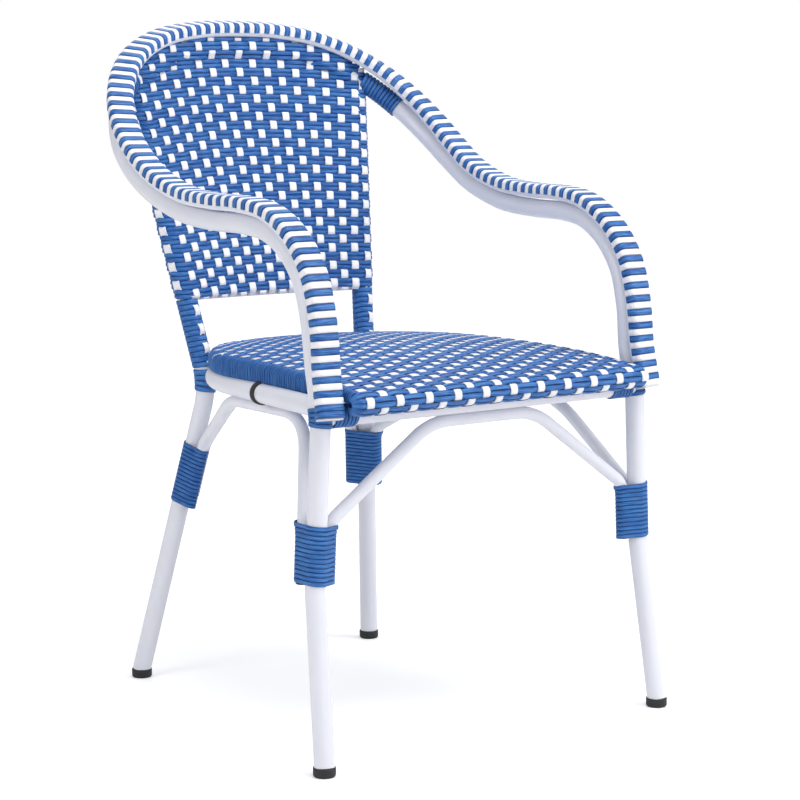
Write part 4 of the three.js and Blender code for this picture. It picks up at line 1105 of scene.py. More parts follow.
@dataclass
class Braces:
    """Thin bent tubes under the seat, with a black plug in each end."""

    legs: Legs
    diameter: float = 16.0
    fit: float = 0.3
    binding_room: float = 4.3
    foot_height: float = 226.0
    front_elbow: float = 296.0
    front_height: float = 404.8
    front_half_run: float = 82.0
    side_elbow: float = 288.0
    side_height: float = 411.0
    side_front: Pair = (198.0, -157.0)
    side_rear: Pair = (190.0, 22.0)
    side_rear_foot: float = 249.0
    rear_foot: float = 250.0
    rear_other_foot: float = 256.0
    rear_elbow: float = 327.0
    rear_height: float = 400.0
    rear_half_run: float = 62.0
    elbow_radius: float = 30.0
    bend_radius: float = 90.0
    plug_thickness: float = 2.5
    front_bearing: float = 166.0
    side_front_bearing: float = 76.0
    side_rear_bearing: float = -90.0
    rear_bearing: float = 161.0
    bend_steps: int = 9
    plug_sides: int = 28

    def _end(self, axis: Callable[[float], Array], heights: Sequence[float], degrees: float,
             room: float = 0.0) -> list[Array]:
        """Foot and elbow of one brace end, beside a leg at a bearing round it.

        Args:
            axis: Centre of the leg at a height.
            heights: Heights of the foot and the elbow.
            degrees: The bearing.
            room: Extra room between the brace and the leg.

        Returns:
            Both centres.
        """
        reach = (self.legs.diameter + self.diameter) / 2 + (room + self.fit)
        towards = reach * np.array([*circle_at(math.radians(degrees)), 0.0])
        return [axis(height) + towards for height in heights]

    def _bent(self, corners: Sequence[Array]) -> Array:
        """Route through two elbows and two wide bends."""
        radii = [self.elbow_radius, self.bend_radius, self.bend_radius, self.elbow_radius]
        return spaced(rounded_route(corners, radii, self.bend_steps))

    def front_route(self) -> Array:
        """Route of the front brace."""
        heights = (self.foot_height, self.front_elbow)
        foot, elbow = self._end(self.legs.front_axis, heights, self.front_bearing)
        crown = np.array([self.front_half_run, elbow[1], self.front_height])
        return self._bent([foot, elbow, crown, *map(Side.LEFT.flip, (crown, elbow, foot))])

    def rear_route(self) -> Array:
        """Route of the rear brace, whose left end stays outside the binding."""
        axis, bearing = self.legs.rear_axis, self.rear_bearing
        foot, elbow = self._end(axis, (self.rear_foot, self.rear_elbow), bearing)
        heights = (self.rear_other_foot, self.rear_elbow)
        other_foot, other_elbow = self._end(axis, heights, bearing, self.binding_room)
        crown = np.array([self.rear_half_run, elbow[1], self.rear_height])
        left = map(Side.LEFT.flip, (crown, other_elbow, other_foot))
        return self._bent([foot, elbow, crown, *left])

    def side_route(self) -> Array:
        """Route of the right brace, from the front leg to the rear one."""
        heights = (self.foot_height, self.side_elbow)
        front = self._end(self.legs.front_axis, heights, self.side_front_bearing)
        heights = (self.side_rear_foot, self.rear_elbow)
        rear = self._end(self.legs.rear_axis, heights, self.side_rear_bearing)
        places = (self.side_front, self.side_rear)
        crowns = [np.array([*place, self.side_height]) for place in places]
        return self._bent([*front, *crowns, *reversed(rear)])

    def _plug(self, shop: Workshop, name: str, end: Array, inner: Array) -> None:
        """Makes one black plug: a domed disc just past the tube's end."""
        outward = unit(end - inner)
        radius, high = self.diameter / 2 - self.fit, self.plug_thickness
        profile = [
            (0.2, -2.0), (radius - 1.0, -2.0), (radius, 0.1),
            (radius, high - 1.0), (radius - 1.0, high - 0.2), (0.2, high),
        ]
        rings = turned(profile, end + outward * self.fit, outward, self.plug_sides)
        shop.body(f"{name}_disc", rings, Look.RUBBER, name)

    def build(self, shop: Workshop) -> None:
        """Makes the four braces and their plugs."""
        side = self.side_route()
        routes = {
            "front_brace": self.front_route(),
            "rear_brace": self.rear_route(),
            "right_brace": side,
            "left_brace": Side.LEFT.flip(side),
        }
        for name, route in routes.items():
            shop.tube(f"{name}_tube", route, self.diameter, name)
            self._plug(shop, f"{name}_plug_a", route[0], route[1])
            self._plug(shop, f"{name}_plug_b", route[-1], route[-2])


# ---- Weave


def weave_wave(phase: Array, firmness: float = 2.1) -> Array:
    """Over and under of a plain weave: 1 at even phases, -1 at odd ones, with flat tops."""
    return np.tanh(firmness * np.cos(math.pi * phase)) / math.tanh(firmness)


def kept_runs(keep: Array, least: int = 4) -> list[slice]:
    """Unbroken runs of places to keep, leaving out the very short ones."""
    edges = np.flatnonzero(np.diff(np.concatenate([[False], keep, [False]]).astype(int)))
    return [slice(a, b) for a, b in zip(edges[::2], edges[1::2]) if b - a >= least]


def weave_panel(shop: Workshop, panel: "WovenBack | WovenSeat", word: str, rows: Iterable[int],
                columns: Iterable[int]) -> None:
    """Makes a panel's blue rows, two strands to each, and its white columns.

    Args:
        shop: The workshop.
        panel: The panel.
        word: Word for the panel in the pieces' names.
        rows: Numbers of the rows.
        columns: Numbers of the columns.
    """
    lay = panel.row_pitch / 4
    blue = [part for row in rows for side in (-lay, lay) for part in panel.row(shop, row, side)]
    shop.strands(f"{word}_rows", blue, panel.blue, Look.BLUE_WEAVE, f"woven_{word}")
    white = [panel.column(shop, number) for number in columns]
    shop.strands(f"{word}_columns", white, panel.white, Look.WHITE_WEAVE)


@dataclass
class WovenBack:
    """Woven back: blue rows of two strands across, white strands up and down, over two rods."""

    legs: Legs
    hoop: Hoop
    bow: float = 12.0
    columns: int = 17
    row_zero: float = 805.0
    edge_sags: tuple[tuple[float, float], tuple[float, float]] = ((4.2, 11.0), (2.5, 6.3))
    row_pitch: float = 12.2
    rows_below: int = 22
    rows_above: int = 7
    hem_height: float = 528.3
    top_gap: float = 8.0
    bead: float = 6.3
    rod_diameter: float = 8.0
    lift: float = 1.35
    tube_lift: float = 1.1
    row_firmness: float = 1.4
    wrap_radius: float = 14.4
    outer_angles: Pair = (205.0, 264.0)
    insets: tuple[tuple[float, float], tuple[float, float]] = ((10.3, 4.3), (18.5, 8.1))
    bows: Pair = (16.6, 26.6)
    leave_angle: float = 284.0
    top_push: float = 6.6
    top_reach: float = 14.6
    row_reach: float = 17.6
    fit_heights: Pair = (590.0, 790.0)
    lean_heights: Pair = (550.0, 750.0)
    hidden_angle: float = 24.0
    turn_steps: int = 60
    facing_step: int = 40
    edge_gap: float = 7.0
    row_step: float = 3.6
    column_step: float = 2.2
    highest: float = 880.0
    top_guess: float = 824.0
    winding_margin: float = 15.0
    panel_steps: int = 81
    link_steps: int = 5
    rod_steps: int = 61
    loop_steps: int = 16
    crest_stations: int = 150
    push_zone: Pair = (17.0, 14.0)
    push_ramp: Pair = (0.1, 0.6)
    panel_ramp: Pair = (0.2, 0.5)
    shown_ramp: Pair = (-2.1, 0.6)
    hem_turn: float = 3.5
    hem_tuck: Pair = (3.0, 1.0)
    blue: Section = Section(6.5, 2.5, 0.9, 8)
    white: Section = Section(11.4, 1.3, 0.6, 10)
    bead_strand: Section = Section(3.8, 1.5, 0.9, 8)
    bead_pitch: float = 3.9

    def _fitted(self, height: float, ends: Pair) -> float:
        """Value at a height between two that were fitted low and high on the back."""
        return float(np.interp(height, self.fit_heights, ends))

    def _course(self, height: float) -> tuple[Array, Array]:
        """Course of a row at a height, from behind the left upright round to behind the right one.

        Args:
            height: Height above the floor.

        Returns:
            Points of the course, and the place of each by column number.
        """
        wide, deep, _ = self.legs.rear_axis(height)
        angles = np.radians(np.linspace(self.hidden_angle, self.leave_angle, self.turn_steps))
        left = circle_at(angles) * self.wrap_radius + [-wide, deep]
        share = 1.0 - self.edge_gap / wide
        shares = np.linspace(-share, share, self.panel_steps)
        bowed = deep - self.wrap_radius + self._fitted(height, self.bows) * (1 - shares**2)
        middle = np.stack([shares * wide, bowed], axis=1)
        between = np.linspace(0.0, 1.0, self.link_steps)[1:-1, None]
        link = left[-1] + (middle[0] - left[-1]) * between
        half = np.vstack([left, link])
        course = np.vstack([half, middle, half[::-1] * [-1.0, 1.0]])
        run = lengths_along(course)
        outer, other = np.interp(np.radians(self.outer_angles), angles, run[: self.turn_steps])
        near, far = (self._fitted(height, inset) for inset in self.insets)
        facing = slice(self.facing_step, -self.facing_step)
        across = np.linspace(near - wide, wide - far, self.columns)
        places = np.interp(across, course[facing, 0], run[facing])
        pitch = places[1] - places[0]
        known = [0.0, outer, *places, run[-1] - other, run[-1]]
        behind = (-1.0 - outer / pitch, self.columns + other / pitch)
        numbers = [behind[0], *range(-1, self.columns + 1), behind[1]]
        column = np.interp(run, known, numbers)
        return np.column_stack([course, np.full(len(course), height)]), column

    def top_at(self, x: Array) -> Array:
        """Height of the top rod's centre at places across."""
        near = self.hoop.half.part(slice(self.crest_stations))
        across, height = near.points[:, 0], near.points[:, 2]
        middle = np.interp(np.abs(x), across, height)
        slope = np.interp(np.abs(x), across, near.along[:, 2] / near.along[:, 0])
        under = self.hoop.thickness / 2 * np.hypot(1.0, slope)
        return middle - under - self.top_gap - self.bead

    def _sag(self, x: Array, height: float) -> Array:
        """How far a row hangs below its own height, more towards the uprights."""
        share = np.minimum(np.abs(x) / self.legs.rear_axis(height)[0], 1.0)
        left, right = (self._fitted(height, sags) for sags in self.edge_sags)
        return np.where(x < 0, left, right) * share**2

    def _upward(self, points: Array) -> Array:
        """Direction of the uprights at each point, one millimetre high."""
        low, high = (self.legs.rear_axis(height) for height in self.lean_heights)
        lean = (high - low) / (high[2] - low[2])
        share = np.clip(points[:, 0] / high[0], -1.0, 1.0)
        level = np.ones(len(points))
        return np.stack([lean[0] * share, lean[1] * level, level], axis=1)

    def _ramp(self, column: Array, start: float, length: float) -> Array:
        """One on the panel, falling to nought beyond a column number at the left and its mirror."""
        ends = (column, self.columns - 1 - column)
        left, right = (smooth_step((inward - start) / length) for inward in ends)
        return left * right

    def _pushed(self, points: Array, column: Array) -> Array:
        """How far the sheet stands off its middle surface, where it runs over the top rod."""
        start, length = self.push_zone
        high = smooth_step((points[:, 2] - self.top_at(points[:, 0]) + start) / length)
        return self._ramp(column, *self.push_ramp) * high * self.top_push

    def _lifted(self, column: Array) -> Array:
        """Height of the weave's waves, lower on the uprights and nought behind them."""
        panel, shown = (self._ramp(column, *ramp) for ramp in (self.panel_ramp, self.shown_ramp))
        return shown * (self.tube_lift + (self.lift - self.tube_lift) * panel)

    def row(self, shop: Workshop, number: int, lay: float) -> list[Strand]:
        """One strand of a row, in the pieces that the top edge leaves of it."""
        height = self.row_zero - number * self.row_pitch + lay
        course, column = self._course(height)
        run = lengths_along(course)
        places = np.linspace(0.0, run[-1], int(run[-1] / self.row_step))
        points = sampled(course, places)
        column = np.interp(places, run, column)
        out = unit(np.cross(tangents_of(points), UP))
        wave = weave_wave(column + number, self.row_firmness)
        rise = -wave * self._lifted(column) + self._pushed(points, column)
        sag = self._sag(points[:, 0], height)
        keep = height - sag <= self.top_at(points[:, 0]) + self.row_reach
        moved = points + out * rise[:, None] - sag[:, None] * self._upward(points)
        return [Strand(moved[part], out[part], shop.tone()) for part in kept_runs(keep)]

    def column(self, shop: Workshop, number: int) -> Strand:
        """One white strand, from the hem to the top edge."""
        rows = []
        for height in np.arange(self.hem_height - self.hem_turn, self.highest, self.column_step):
            course, column = self._course(height)
            place = np.interp(number, column, lengths_along(course))
            before, point, after = sampled(course, place + np.array([-1.0, 0.0, 1.0]))
            rows.append([point, np.cross(unit(after - before), UP)])
        points, outs = np.array(rows).transpose(1, 0, 2)
        keep = points[:, 2] <= self.top_at(points[:, 0]) + self.top_reach
        points, outs = points[keep], outs[keep]
        column = np.full(len(points), float(number))
        sag = np.array([self._sag(x, height) for x, _, height in points])
        phase = number + (self.row_zero - points[:, 2] - sag) / self.row_pitch
        rise = weave_wave(phase) * self._lifted(column) + self._pushed(points, column)
        rise[:2] -= self.hem_tuck
        return Strand(points + outs * rise[:, None], outs, shop.tone())

    def _rod_route(self, heights: Callable[[Array], Array]) -> Array:
        """Centre line of the top or hem rod, from one upright to the other.

        Args:
            heights: Height of the rod's centre at places across.

        Returns:
            The route.
        """
        route = []
        for share in np.linspace(-1.0, 1.0, self.rod_steps):
            height = float(heights(share * self.legs.rear_axis(self.top_guess)[0]))
            edge = self.legs.rear_axis(height)
            route.append([share * edge[0], edge[1] + self.bow * (1 - share**2), height])
        return np.array(route)

    def _winding(self, shop: Workshop, route: Array) -> Strand:
        """One winding of strand along a rod, loop beside loop."""
        reach = self.rod_diameter / 2 + self.bead_strand.thickness / 2 + SKIN_GAP
        stations = Stations.level(route, UP)
        length = stations.run[-1] - 2 * self.winding_margin
        loops = int(length / self.bead_pitch)
        angles = np.linspace(0.0, TURN * loops, loops * self.loop_steps + 1)
        here = stations.at(self.winding_margin + length * angles / angles[-1])
        out = here.out * np.cos(angles)[:, None] + here.across * np.sin(angles)[:, None]
        return Strand(here.points + out * reach, out, shop.tone())

    def build(self, shop: Workshop) -> None:
        """Makes the rows, the white strands, the two rods and the hem's winding."""
        rows = range(-self.rows_above, self.rows_below + 1)
        weave_panel(shop, self, "back", rows, range(-1, self.columns + 1))
        top, hem = self._rod_route(self.top_at), self._rod_route(lambda x: self.hem_height)
        shop.tube("back_top_core", top, self.rod_diameter, "back_top_rod")
        shop.tube("back_hem_core", hem, self.rod_diameter, "back_hem_rod")
        winding = [self._winding(shop, hem)]
        shop.strands("back_hem_winding", winding, self.bead_strand, Look.WHITE_WEAVE)


@dataclass
class WovenSeat:
    """Woven seat: blue rows across, white strands front to back, a rolled front, wrapped sides."""

    rails: SeatRails
    front_half_width: float = 233.0
    front: float = -313.5
    arc_radius: float = 216.0
    arc_centre: float = -26.5
    roll_radius: float = 15.0
    roll_height: float = 441.8
    side_top: float = 470.5
    rear_top: float = 466.0
    crown: float = 482.0
    crown_y: float = -25.0
    bottom: float = 446.2
    columns: int = 21
    column_pitch: float = 21.8
    column_shift: float = 5.5
    row_pitch: float = 13.3
    row_start: float = 2.5
    rows: range = range(-2, 38)
    lift: float = 1.1
    inset: float = 2.1
    dome: float = 11.0
    blue: Section = Section(7.0, 2.6, 0.9, 8)
    white: Section = Section(11.4, 1.3, 0.6, 10)
    wrap: Section = Section(3.8, 3.2, 1.0, 8)
    wrap_pitch: float = 4.15
    wrap_front: float = -298.0
    rod_diameter: float = 18.0
    frame_diameter: float = 13.0
    frame_inset: float = 10.9
    frame_front: float = -238.0
    least_half: float = 60.0
    dome_steps: int = 9
    row_ramp: Pair = (3.0, 9.0)
    tuck_ramp: float = 10.0
    column_ramp: float = 12.0
    rear_dip: Triple = (1.0, 3.0, 6.0)
    side_steps: int = 60
    arc_steps: int = 121
    wrap_margin: float = 2.0
    wrap_probe: float = 1.5
    wrap_steps: int = 7
    wrap_drop: float = 3.0
    rail_zone: float = 60.0
    column_tuck: float = 22.0
    column_end: float = 520.0
    edge_room: float = 5.0
    roll_travel: float = 20.0
    wrap_stray: float = 0.25
    wrap_slant: float = 0.5
    wrap_reach: Pair = (17.0, 15.0)
    wrap_bends: Pair = (9.0, 5.0)
    end_gap: float = 0.6
    row_gap: float = 3.0
    row_step: float = 4.2
    column_step: float = 2.3
    tuck_drop: float = 9.0

    @property
    def roll_y(self) -> float:
        """Place of the front roll's axis."""
        return self.front + self.roll_radius

    @property
    def rear(self) -> float:
        """Rearmost point of the seat."""
        return self.arc_centre + self.arc_radius

    def half_width(self, y: Array) -> Array:
        """Half of the seat's width at a place from front to back."""
        y = np.asarray(y, float)
        widths = (self.front_half_width, self.arc_radius)
        taper = np.interp(y, [self.front, self.arc_centre], widths)
        arc = np.sqrt(np.maximum(0.0, self.arc_radius**2 - (y - self.arc_centre) ** 2))
        return np.where(y < self.arc_centre, taper, arc)

    def top(self, y: Array, share: Array) -> Array:
        """Height of the seat's top, from its place and its share of the half width."""
        roll_top = self.roll_height + self.roll_radius
        front = np.clip((y - self.roll_y) / (self.crown_y - self.roll_y), 0.0, 1.0)
        rear = np.clip((y - self.crown_y) / (self.rear - self.crown_y), 0.0, 1.0)
        middle, edge = (
            np.where(
                y < self.crown_y,
                roll_top + (high - roll_top) * (1 - (1 - front) ** power),
                high - (high - self.rear_top) * rear**2,
            )
            for high, power in ((self.crown, 2), (self.side_top, 3))
        )
        return edge + (middle - edge) * (1 - share**2)

    def place(self, travel: Array) -> tuple[Array, Array]:
        """Turns distances over the seat, from the middle of the roll's front, into places.

        Args:
            travel: Distances towards the back over the top, or below nought under the roll.

        Returns:
            Places from front to back, and angles round the roll, a quarter turn past it.
        """
        radius = self.roll_radius - self.inset
        angle = np.clip(travel / radius, -math.pi / 2, math.pi / 2)
        past = np.maximum(travel - radius * math.pi / 2, 0.0)
        under = np.maximum(-radius * math.pi / 2 - travel, 0.0)
        return self.roll_y - radius * np.cos(angle) + past + under, angle

    def spot(self, x_share: Array, travel: Array) -> tuple[Array, Array]:
        """Points of the woven sheet's middle and the directions out of it.

        Args:
            x_share: Places across, as shares of the half width.
            travel: Distances over the seat from the middle of the roll's front.

        Returns:
            Points and directions.
        """
        x_share, travel = np.broadcast_arrays(np.asarray(x_share, float), travel)
        y, angle = self.place(travel)
        radius = self.roll_radius - self.inset
        half = self.half_width(y)
        on_top = angle > math.pi / 2 - 1e-6
        top = self.top(y, x_share) - self.inset
        height = np.where(on_top, top, self.roll_height + radius * np.sin(angle))
        slope = (self.top(y + 1.0, x_share) - self.top(y - 1.0, x_share)) / 2.0
        lean = 2.0 * (self.crown - self.side_top) * x_share / np.maximum(half, self.least_half)
        above = np.stack([lean, -slope, np.ones(y.shape)], axis=-1)
        round_roll = np.stack([np.zeros(y.shape), -np.cos(angle), np.sin(angle)], axis=-1)
        out = unit(np.where(on_top[..., None], above, round_roll))
        return np.stack([x_share * half, y, height], axis=-1), out

    def row(self, shop: Workshop, number: int, lay: float) -> list[Strand]:
        """One strand of a row, across the whole seat."""
        travel = self.row_start + number * self.row_pitch + lay
        y = float(self.place(np.array([travel]))[0][0])
        half = float(self.half_width(y))
        on_roll = travel < self.roll_travel
        reach = 1.0 - (self.end_gap if on_roll else self.row_gap) / half
        shares = np.linspace(-reach, reach, max(8, int(2 * half / self.row_step)))
        if on_roll:
            ends = 1.0 - np.linspace(self.dome, self.end_gap, self.dome_steps) / half
            between = shares[np.abs(shares) < ends[0] - 0.01]
            shares = np.concatenate([-ends[::-1], between, ends])
        points, out = self.spot(shares, np.full(len(shares), travel))
        scale = half / float(self.half_width(min(y, self.arc_centre)))
        across = shares * scale * self.front_half_width - self.column_shift
        column = across / self.column_pitch + (self.columns - 1) / 2
        edge = (1.0 - np.abs(shares)) * half
        start, length = self.row_ramp
        lift = self.lift * smooth_step((edge - start) / length)
        points = points - out * (weave_wave(column + number) * lift)[:, None]
        if on_roll:
            past = np.clip(1.0 - edge / self.dome, 0.0, 1.0)
            return [self._domed(points, out, past, shop.tone())]
        drop = self.tuck_drop * (1.0 - smooth_step(edge / self.tuck_ramp))
        return [Strand(points - np.outer(drop, UP), out, shop.tone())]

    def _domed(self, points: Array, out: Array, past: Array, tone: float) -> Strand:
        """Row round the roll, drawn in to the roll's axis at both ends as over a dome.

        Args:
            points: The row's points.
            out: The directions out of it.
            past: How far each point is along its dome, from nought to one at the tip.
            tone: The strand's tone.

        Returns:
            The strand.
        """
        held = np.sqrt(1.0 - past**2)[:, None]
        spoke = (points - [0.0, self.roll_y, self.roll_height]) * [0.0, 1.0, 1.0]
        tips = np.outer(past * np.sign(points[:, 0]), SIDEWAYS)
        return Strand(points - spoke * (1.0 - held), unit(out * held + tips), tone)

    def column(self, shop: Workshop, number: int) -> Strand:
        """One white strand, from under the roll over the seat to its rear edge."""
        low = -math.pi / 2 * (self.roll_radius - self.inset) - self.column_tuck
        travel = np.arange(low, self.column_end, self.column_step)
        y, _ = self.place(travel)
        half = self.half_width(y)
        across = (number - (self.columns - 1) / 2) * self.column_pitch + self.column_shift
        share = across / self.front_half_width
        straight = share * np.where(y < self.arc_centre, half, self.arc_radius)
        keep = (y < self.rear - self.edge_room) | (travel < 0)
        keep &= np.abs(straight) < half - self.edge_room
        travel, half, straight = travel[keep], half[keep], straight[keep]
        points, out = self.spot(straight / half, travel)
        phase = number + (travel - self.row_start) / self.row_pitch
        edge = smooth_step((half - np.abs(straight)) / self.column_ramp)
        rise = weave_wave(phase) * self.lift * np.where(travel < 0, 1.0, edge)
        rise[-3:] -= self.rear_dip
        return Strand(points + out * rise[:, None], out, shop.tone())

    def _outline(self) -> Array:
        """Plan of the seat's edge, from the roll's left end round the back to its right end."""
        y = np.linspace(self.wrap_front, self.arc_centre, self.side_steps)
        left = np.stack([-self.half_width(y), y], axis=1)
        turns = np.radians(np.linspace(180.0, 0.0, self.arc_steps))[1:]
        arc = circle_at(turns) * self.arc_radius + [0.0, self.arc_centre]
        plan = np.vstack([left, arc, left[-2::-1] * [-1.0, 1.0]])
        return np.column_stack([plan, np.zeros(len(plan))])

    def _wraps(self, shop: Workshop) -> list[Strand]:
        """Narrow strands side by side over the seat's edge, from its top to its underside."""
        outline = self._outline()
        end = lengths_along(outline)[-1] - self.wrap_margin
        places = np.arange(self.wrap_margin, end, self.wrap_pitch)
        places = places + shop.chance.uniform(-self.wrap_stray, self.wrap_stray, len(places))
        middle = sampled(outline, places)
        probe = self.wrap_probe
        ahead = unit(sampled(outline, places + probe) - sampled(outline, places - probe))
        outward = unit(np.cross(ahead, UP))
        from_centre = middle - [0.0, self.arc_centre, 0.0]
        outward *= np.sign(np.sum(outward * from_centre, axis=1, keepdims=True))
        strands = []
        for centre, away, onward in zip(middle, outward, ahead):
            course = self._edge_course(centre[1])
            plane = np.array([away, UP])
            slant = shop.chance.uniform(-self.wrap_slant, self.wrap_slant)
            shift = np.outer(np.linspace(-slant, slant, len(course)), onward)
            out = unit(normals_of(course) @ plane)
            strands.append(Strand(centre + course @ plane + shift, out, shop.tone()))
        return strands

    def _edge_course(self, y: float) -> Array:
        """Course of one edge wrap in its own plane, at a place from front to back.

        Args:
            y: Place from front to back.

        Returns:
            Distances outwards and heights.
        """
        lift = self.wrap.thickness / 2
        inner = lift + SKIN_GAP
        top = float(self.top(y, 1.0)) - inner
        ahead = float(smooth_step((-self.rail_zone - y) / self.rail_zone))
        low = self.bottom - self.wrap_drop - ahead + lift
        radius, bend = min(self.wrap_bends[0], (top - low) / 2), self.wrap_bends[1]
        quarter = circle_at(np.radians(np.linspace(90.0, 0.0, self.wrap_steps)))
        shoulder = quarter * radius + [-inner - radius, top - radius]
        foot = quarter[::-1] * [bend, -bend] + [-inner - bend, low + bend]
        above, below = self.wrap_reach
        return np.vstack([[[-above, top - 1.5]], shoulder, foot, [[-below, low]]])

    def build(self, shop: Workshop) -> None:
        """Makes the rows, the white strands, the edge wraps and the rods inside."""
        weave_panel(shop, self, "seat", self.rows, range(self.columns))
        shop.strands("seat_edge_wraps", self._wraps(shop), self.wrap, Look.BLUE_WEAVE)
        end = np.array([self.front_half_width - self.dome, self.roll_y, self.roll_height])
        rod = spaced(np.array([end, Side.LEFT.flip(end)]))
        shop.tube("seat_roll_core", rod, self.rod_diameter, "seat_front_rod")
        x = float(self.half_width(self.frame_front)) - self.frame_inset
        height = self.bottom + self.frame_diameter / 2
        frame = self.rails.route(self.arc_radius - self.frame_inset, x, self.frame_front, height)
        shop.tube("seat_frame_core", spaced(frame), self.frame_diameter, "seat_inner_frame")


# ---- Bindings


@dataclass(frozen=True)
class Winding:
    """One winding to lay: its path, where it starts on it, its loops, and the braces under it."""

    name: str
    path: Stations
    start: float
    loops: int
    pitch: float
    size: Section
    routes: Sequence[Array] = ()


@dataclass
class Bindings:
    """Blue strand wound round the joints, each winding one unbroken length."""

    legs: Legs
    rails: SeatRails
    braces: Braces
    strand: Section = Section(5.6, 2.0, 0.85, 10)
    wide_strand: Section = Section(7.5, 2.0, 0.8, 10)
    tie: Section = Section(9.0, 1.4, 0.6, 10)
    pitch: float = 5.5
    bend_pitch: float = 5.9
    wide_pitch: float = 7.4
    leg_loops: int = 13
    rear_loops: int = 15
    leg_height: float = 222.5
    rear_height: float = 246.0
    corner_loops: int = 4
    corner_height: float = 410.5
    rail_loops: int = 6
    rail_start: float = 11.0
    joint_loops: int = 4
    joint_tilt: float = 2.0
    joint_drop: float = 3.0
    arm_loops: int = 11
    arm_start: float = 8.4
    hem_height: float = 528.0
    tie_degrees: float = 283.0
    tie_period: float = 26.0
    tie_step: float = 2.2
    tie_wave: float = 1.6
    tie_overlap: float = 20.0
    tie_firmness: float = 1.6
    tie_share: float = 0.75
    tab_share: float = 1.5
    steps: int = 48
    tuck: float = 0.6
    hidden_from_front: Triple = (0.6, 0.79, 0.0)
    nail_place: Triple = (122.5, 182.1, 320.9)
    nail_axis: Triple = (-0.814, -0.581, 0.0)
    nail_rim: tuple[Pair, ...] = ((0.2, -1.5), (2.3, -1.5), (2.4, 0.3), (1.9, 0.8), (0.2, 0.8))
    nail_dot: tuple[Pair, ...] = ((0.2, 0.5), (0.9, 0.5), (0.8, 1.1), (0.2, 1.2))

    def _bundle(self, here: Stations, k: int, routes: Sequence[Array]) -> Array:
        """Circles of the tubes that a winding goes round: centre outwards, across, and radius."""
        circles = [(0.0, 0.0, self.legs.diameter / 2)]
        point, along = here.points[k], here.along[k]
        for route in routes:
            heights = (route - point) @ along
            i = int(np.argmax(heights[1:] * heights[:-1] <= 0))
            step = route[i + 1] - route[i]
            away = route[i] + step * heights[i] / (heights[i] - heights[i + 1]) - point
            slope = max(0.5, abs(float(unit(step) @ along)))
            radius = self.braces.diameter / 2 / slope
            circles.append((float(away @ here.out[k]), float(away @ here.across[k]), radius))
        return np.array(circles)

    def _wound(self, shop: Workshop, plan: Winding, hidden: Array) -> Strand:
        """Strand of one winding on the right side.

        Args:
            shop: Source of the strand's tone.
            plan: The winding.
            hidden: Direction of the side on which both ends lie.

        Returns:
            The strand.
        """
        angles = np.linspace(0.0, TURN * plan.loops, plan.loops * self.steps + 1)
        here = plan.path.at(plan.start + plan.size.width / 2 + plan.pitch * angles / TURN)
        angles += math.atan2(float(hidden @ here.across[0]), float(hidden @ here.out[0]))
        lift = plan.size.thickness / 2 + SKIN_GAP
        faces = circle_at(angles)
        places = []
        for k, face in enumerate(faces):
            circles = self._bundle(here, k, plan.routes)
            best = circles[int(np.argmax(circles[:, :2] @ face + circles[:, 2]))]
            places.append(best[:2] + face * (best[2] + lift))
        points = here.offset(*np.array(places).T)
        outs = here.out * faces[:, :1] + here.across * faces[:, 1:]
        points[[0, -1]] -= outs[[0, -1]] * self.tuck
        return Strand(points, outs, shop.tone())

    @staticmethod
    def _distance_to(stations: Stations, height: float) -> float:
        """Distance along rising stations to a height."""
        i = int(np.argmax(stations.points[:, 2] > height))
        near = slice(i - 1, i + 1)
        return float(np.interp(height, stations.points[near, 2], stations.run[near]))

    def _straight(self, axis: Callable[[float], Array], low: float) -> Stations:
        """Straight path up a leg, as long as the winding on it."""
        length = self.pitch * self.leg_loops + self.strand.width
        return Stations.level(np.array([axis(low), axis(low + length)]), self.legs.hoop.upward)

    def _plans(self, uprights: Stations, joint_top: float, hem: float) -> tuple[Winding, ...]:
        """Windings of the right side, from the floor up.

        Args:
            uprights: Stations of the rear leg and upright.
            joint_top: Distance along them to the top of the seat joint's winding.
            hem: Distance along them to the back's hem.

        Returns:
            The windings.
        """
        front, side, rear = (
            self.braces.front_route(), self.braces.side_route(), self.braces.rear_route()
        )
        front_half, rear_half = front[: len(front) // 2], rear[: len(rear) // 2]
        side_first, side_last = side[: len(side) // 2], side[len(side) // 2 :][::-1]
        rising = self.legs.front().reversed()
        joint_length = self.wide_pitch * self.joint_loops + self.wide_strand.width
        joint = joint_top - joint_length - self.joint_drop
        start = joint_top - self.wide_pitch
        loops = round((hem - start) / self.wide_pitch) - 1
        pitch = (hem - start - self.wide_strand.width) / loops
        leg = self._straight(self.legs.front_axis, self.leg_height)
        rear_leg = self._straight(self.legs.rear_axis, self.rear_height)
        corner = self._distance_to(rising, self.corner_height)
        rail = Stations.level(self.rails.front_route(), UP)
        thin, wide = self.strand, self.wide_strand
        fronts, rears = (front_half, side_first), (side_last, rear_half)
        return (
            Winding("front_leg", leg, 0.0, self.leg_loops, self.pitch, thin, fronts),
            Winding("rear_leg", rear_leg, 0.0, self.rear_loops, self.pitch, thin, rears),
            Winding("corner", rising, corner, self.corner_loops, self.pitch, thin),
            Winding("rail", rail, self.rail_start, self.rail_loops, self.pitch, thin),
            Winding("seat_joint", uprights, joint, self.joint_loops, self.wide_pitch, wide),
            Winding("upright", uprights, start, loops, pitch, wide),
            Winding("arm", self.legs.arm(), self.arm_start, self.arm_loops, self.bend_pitch, thin),
        )

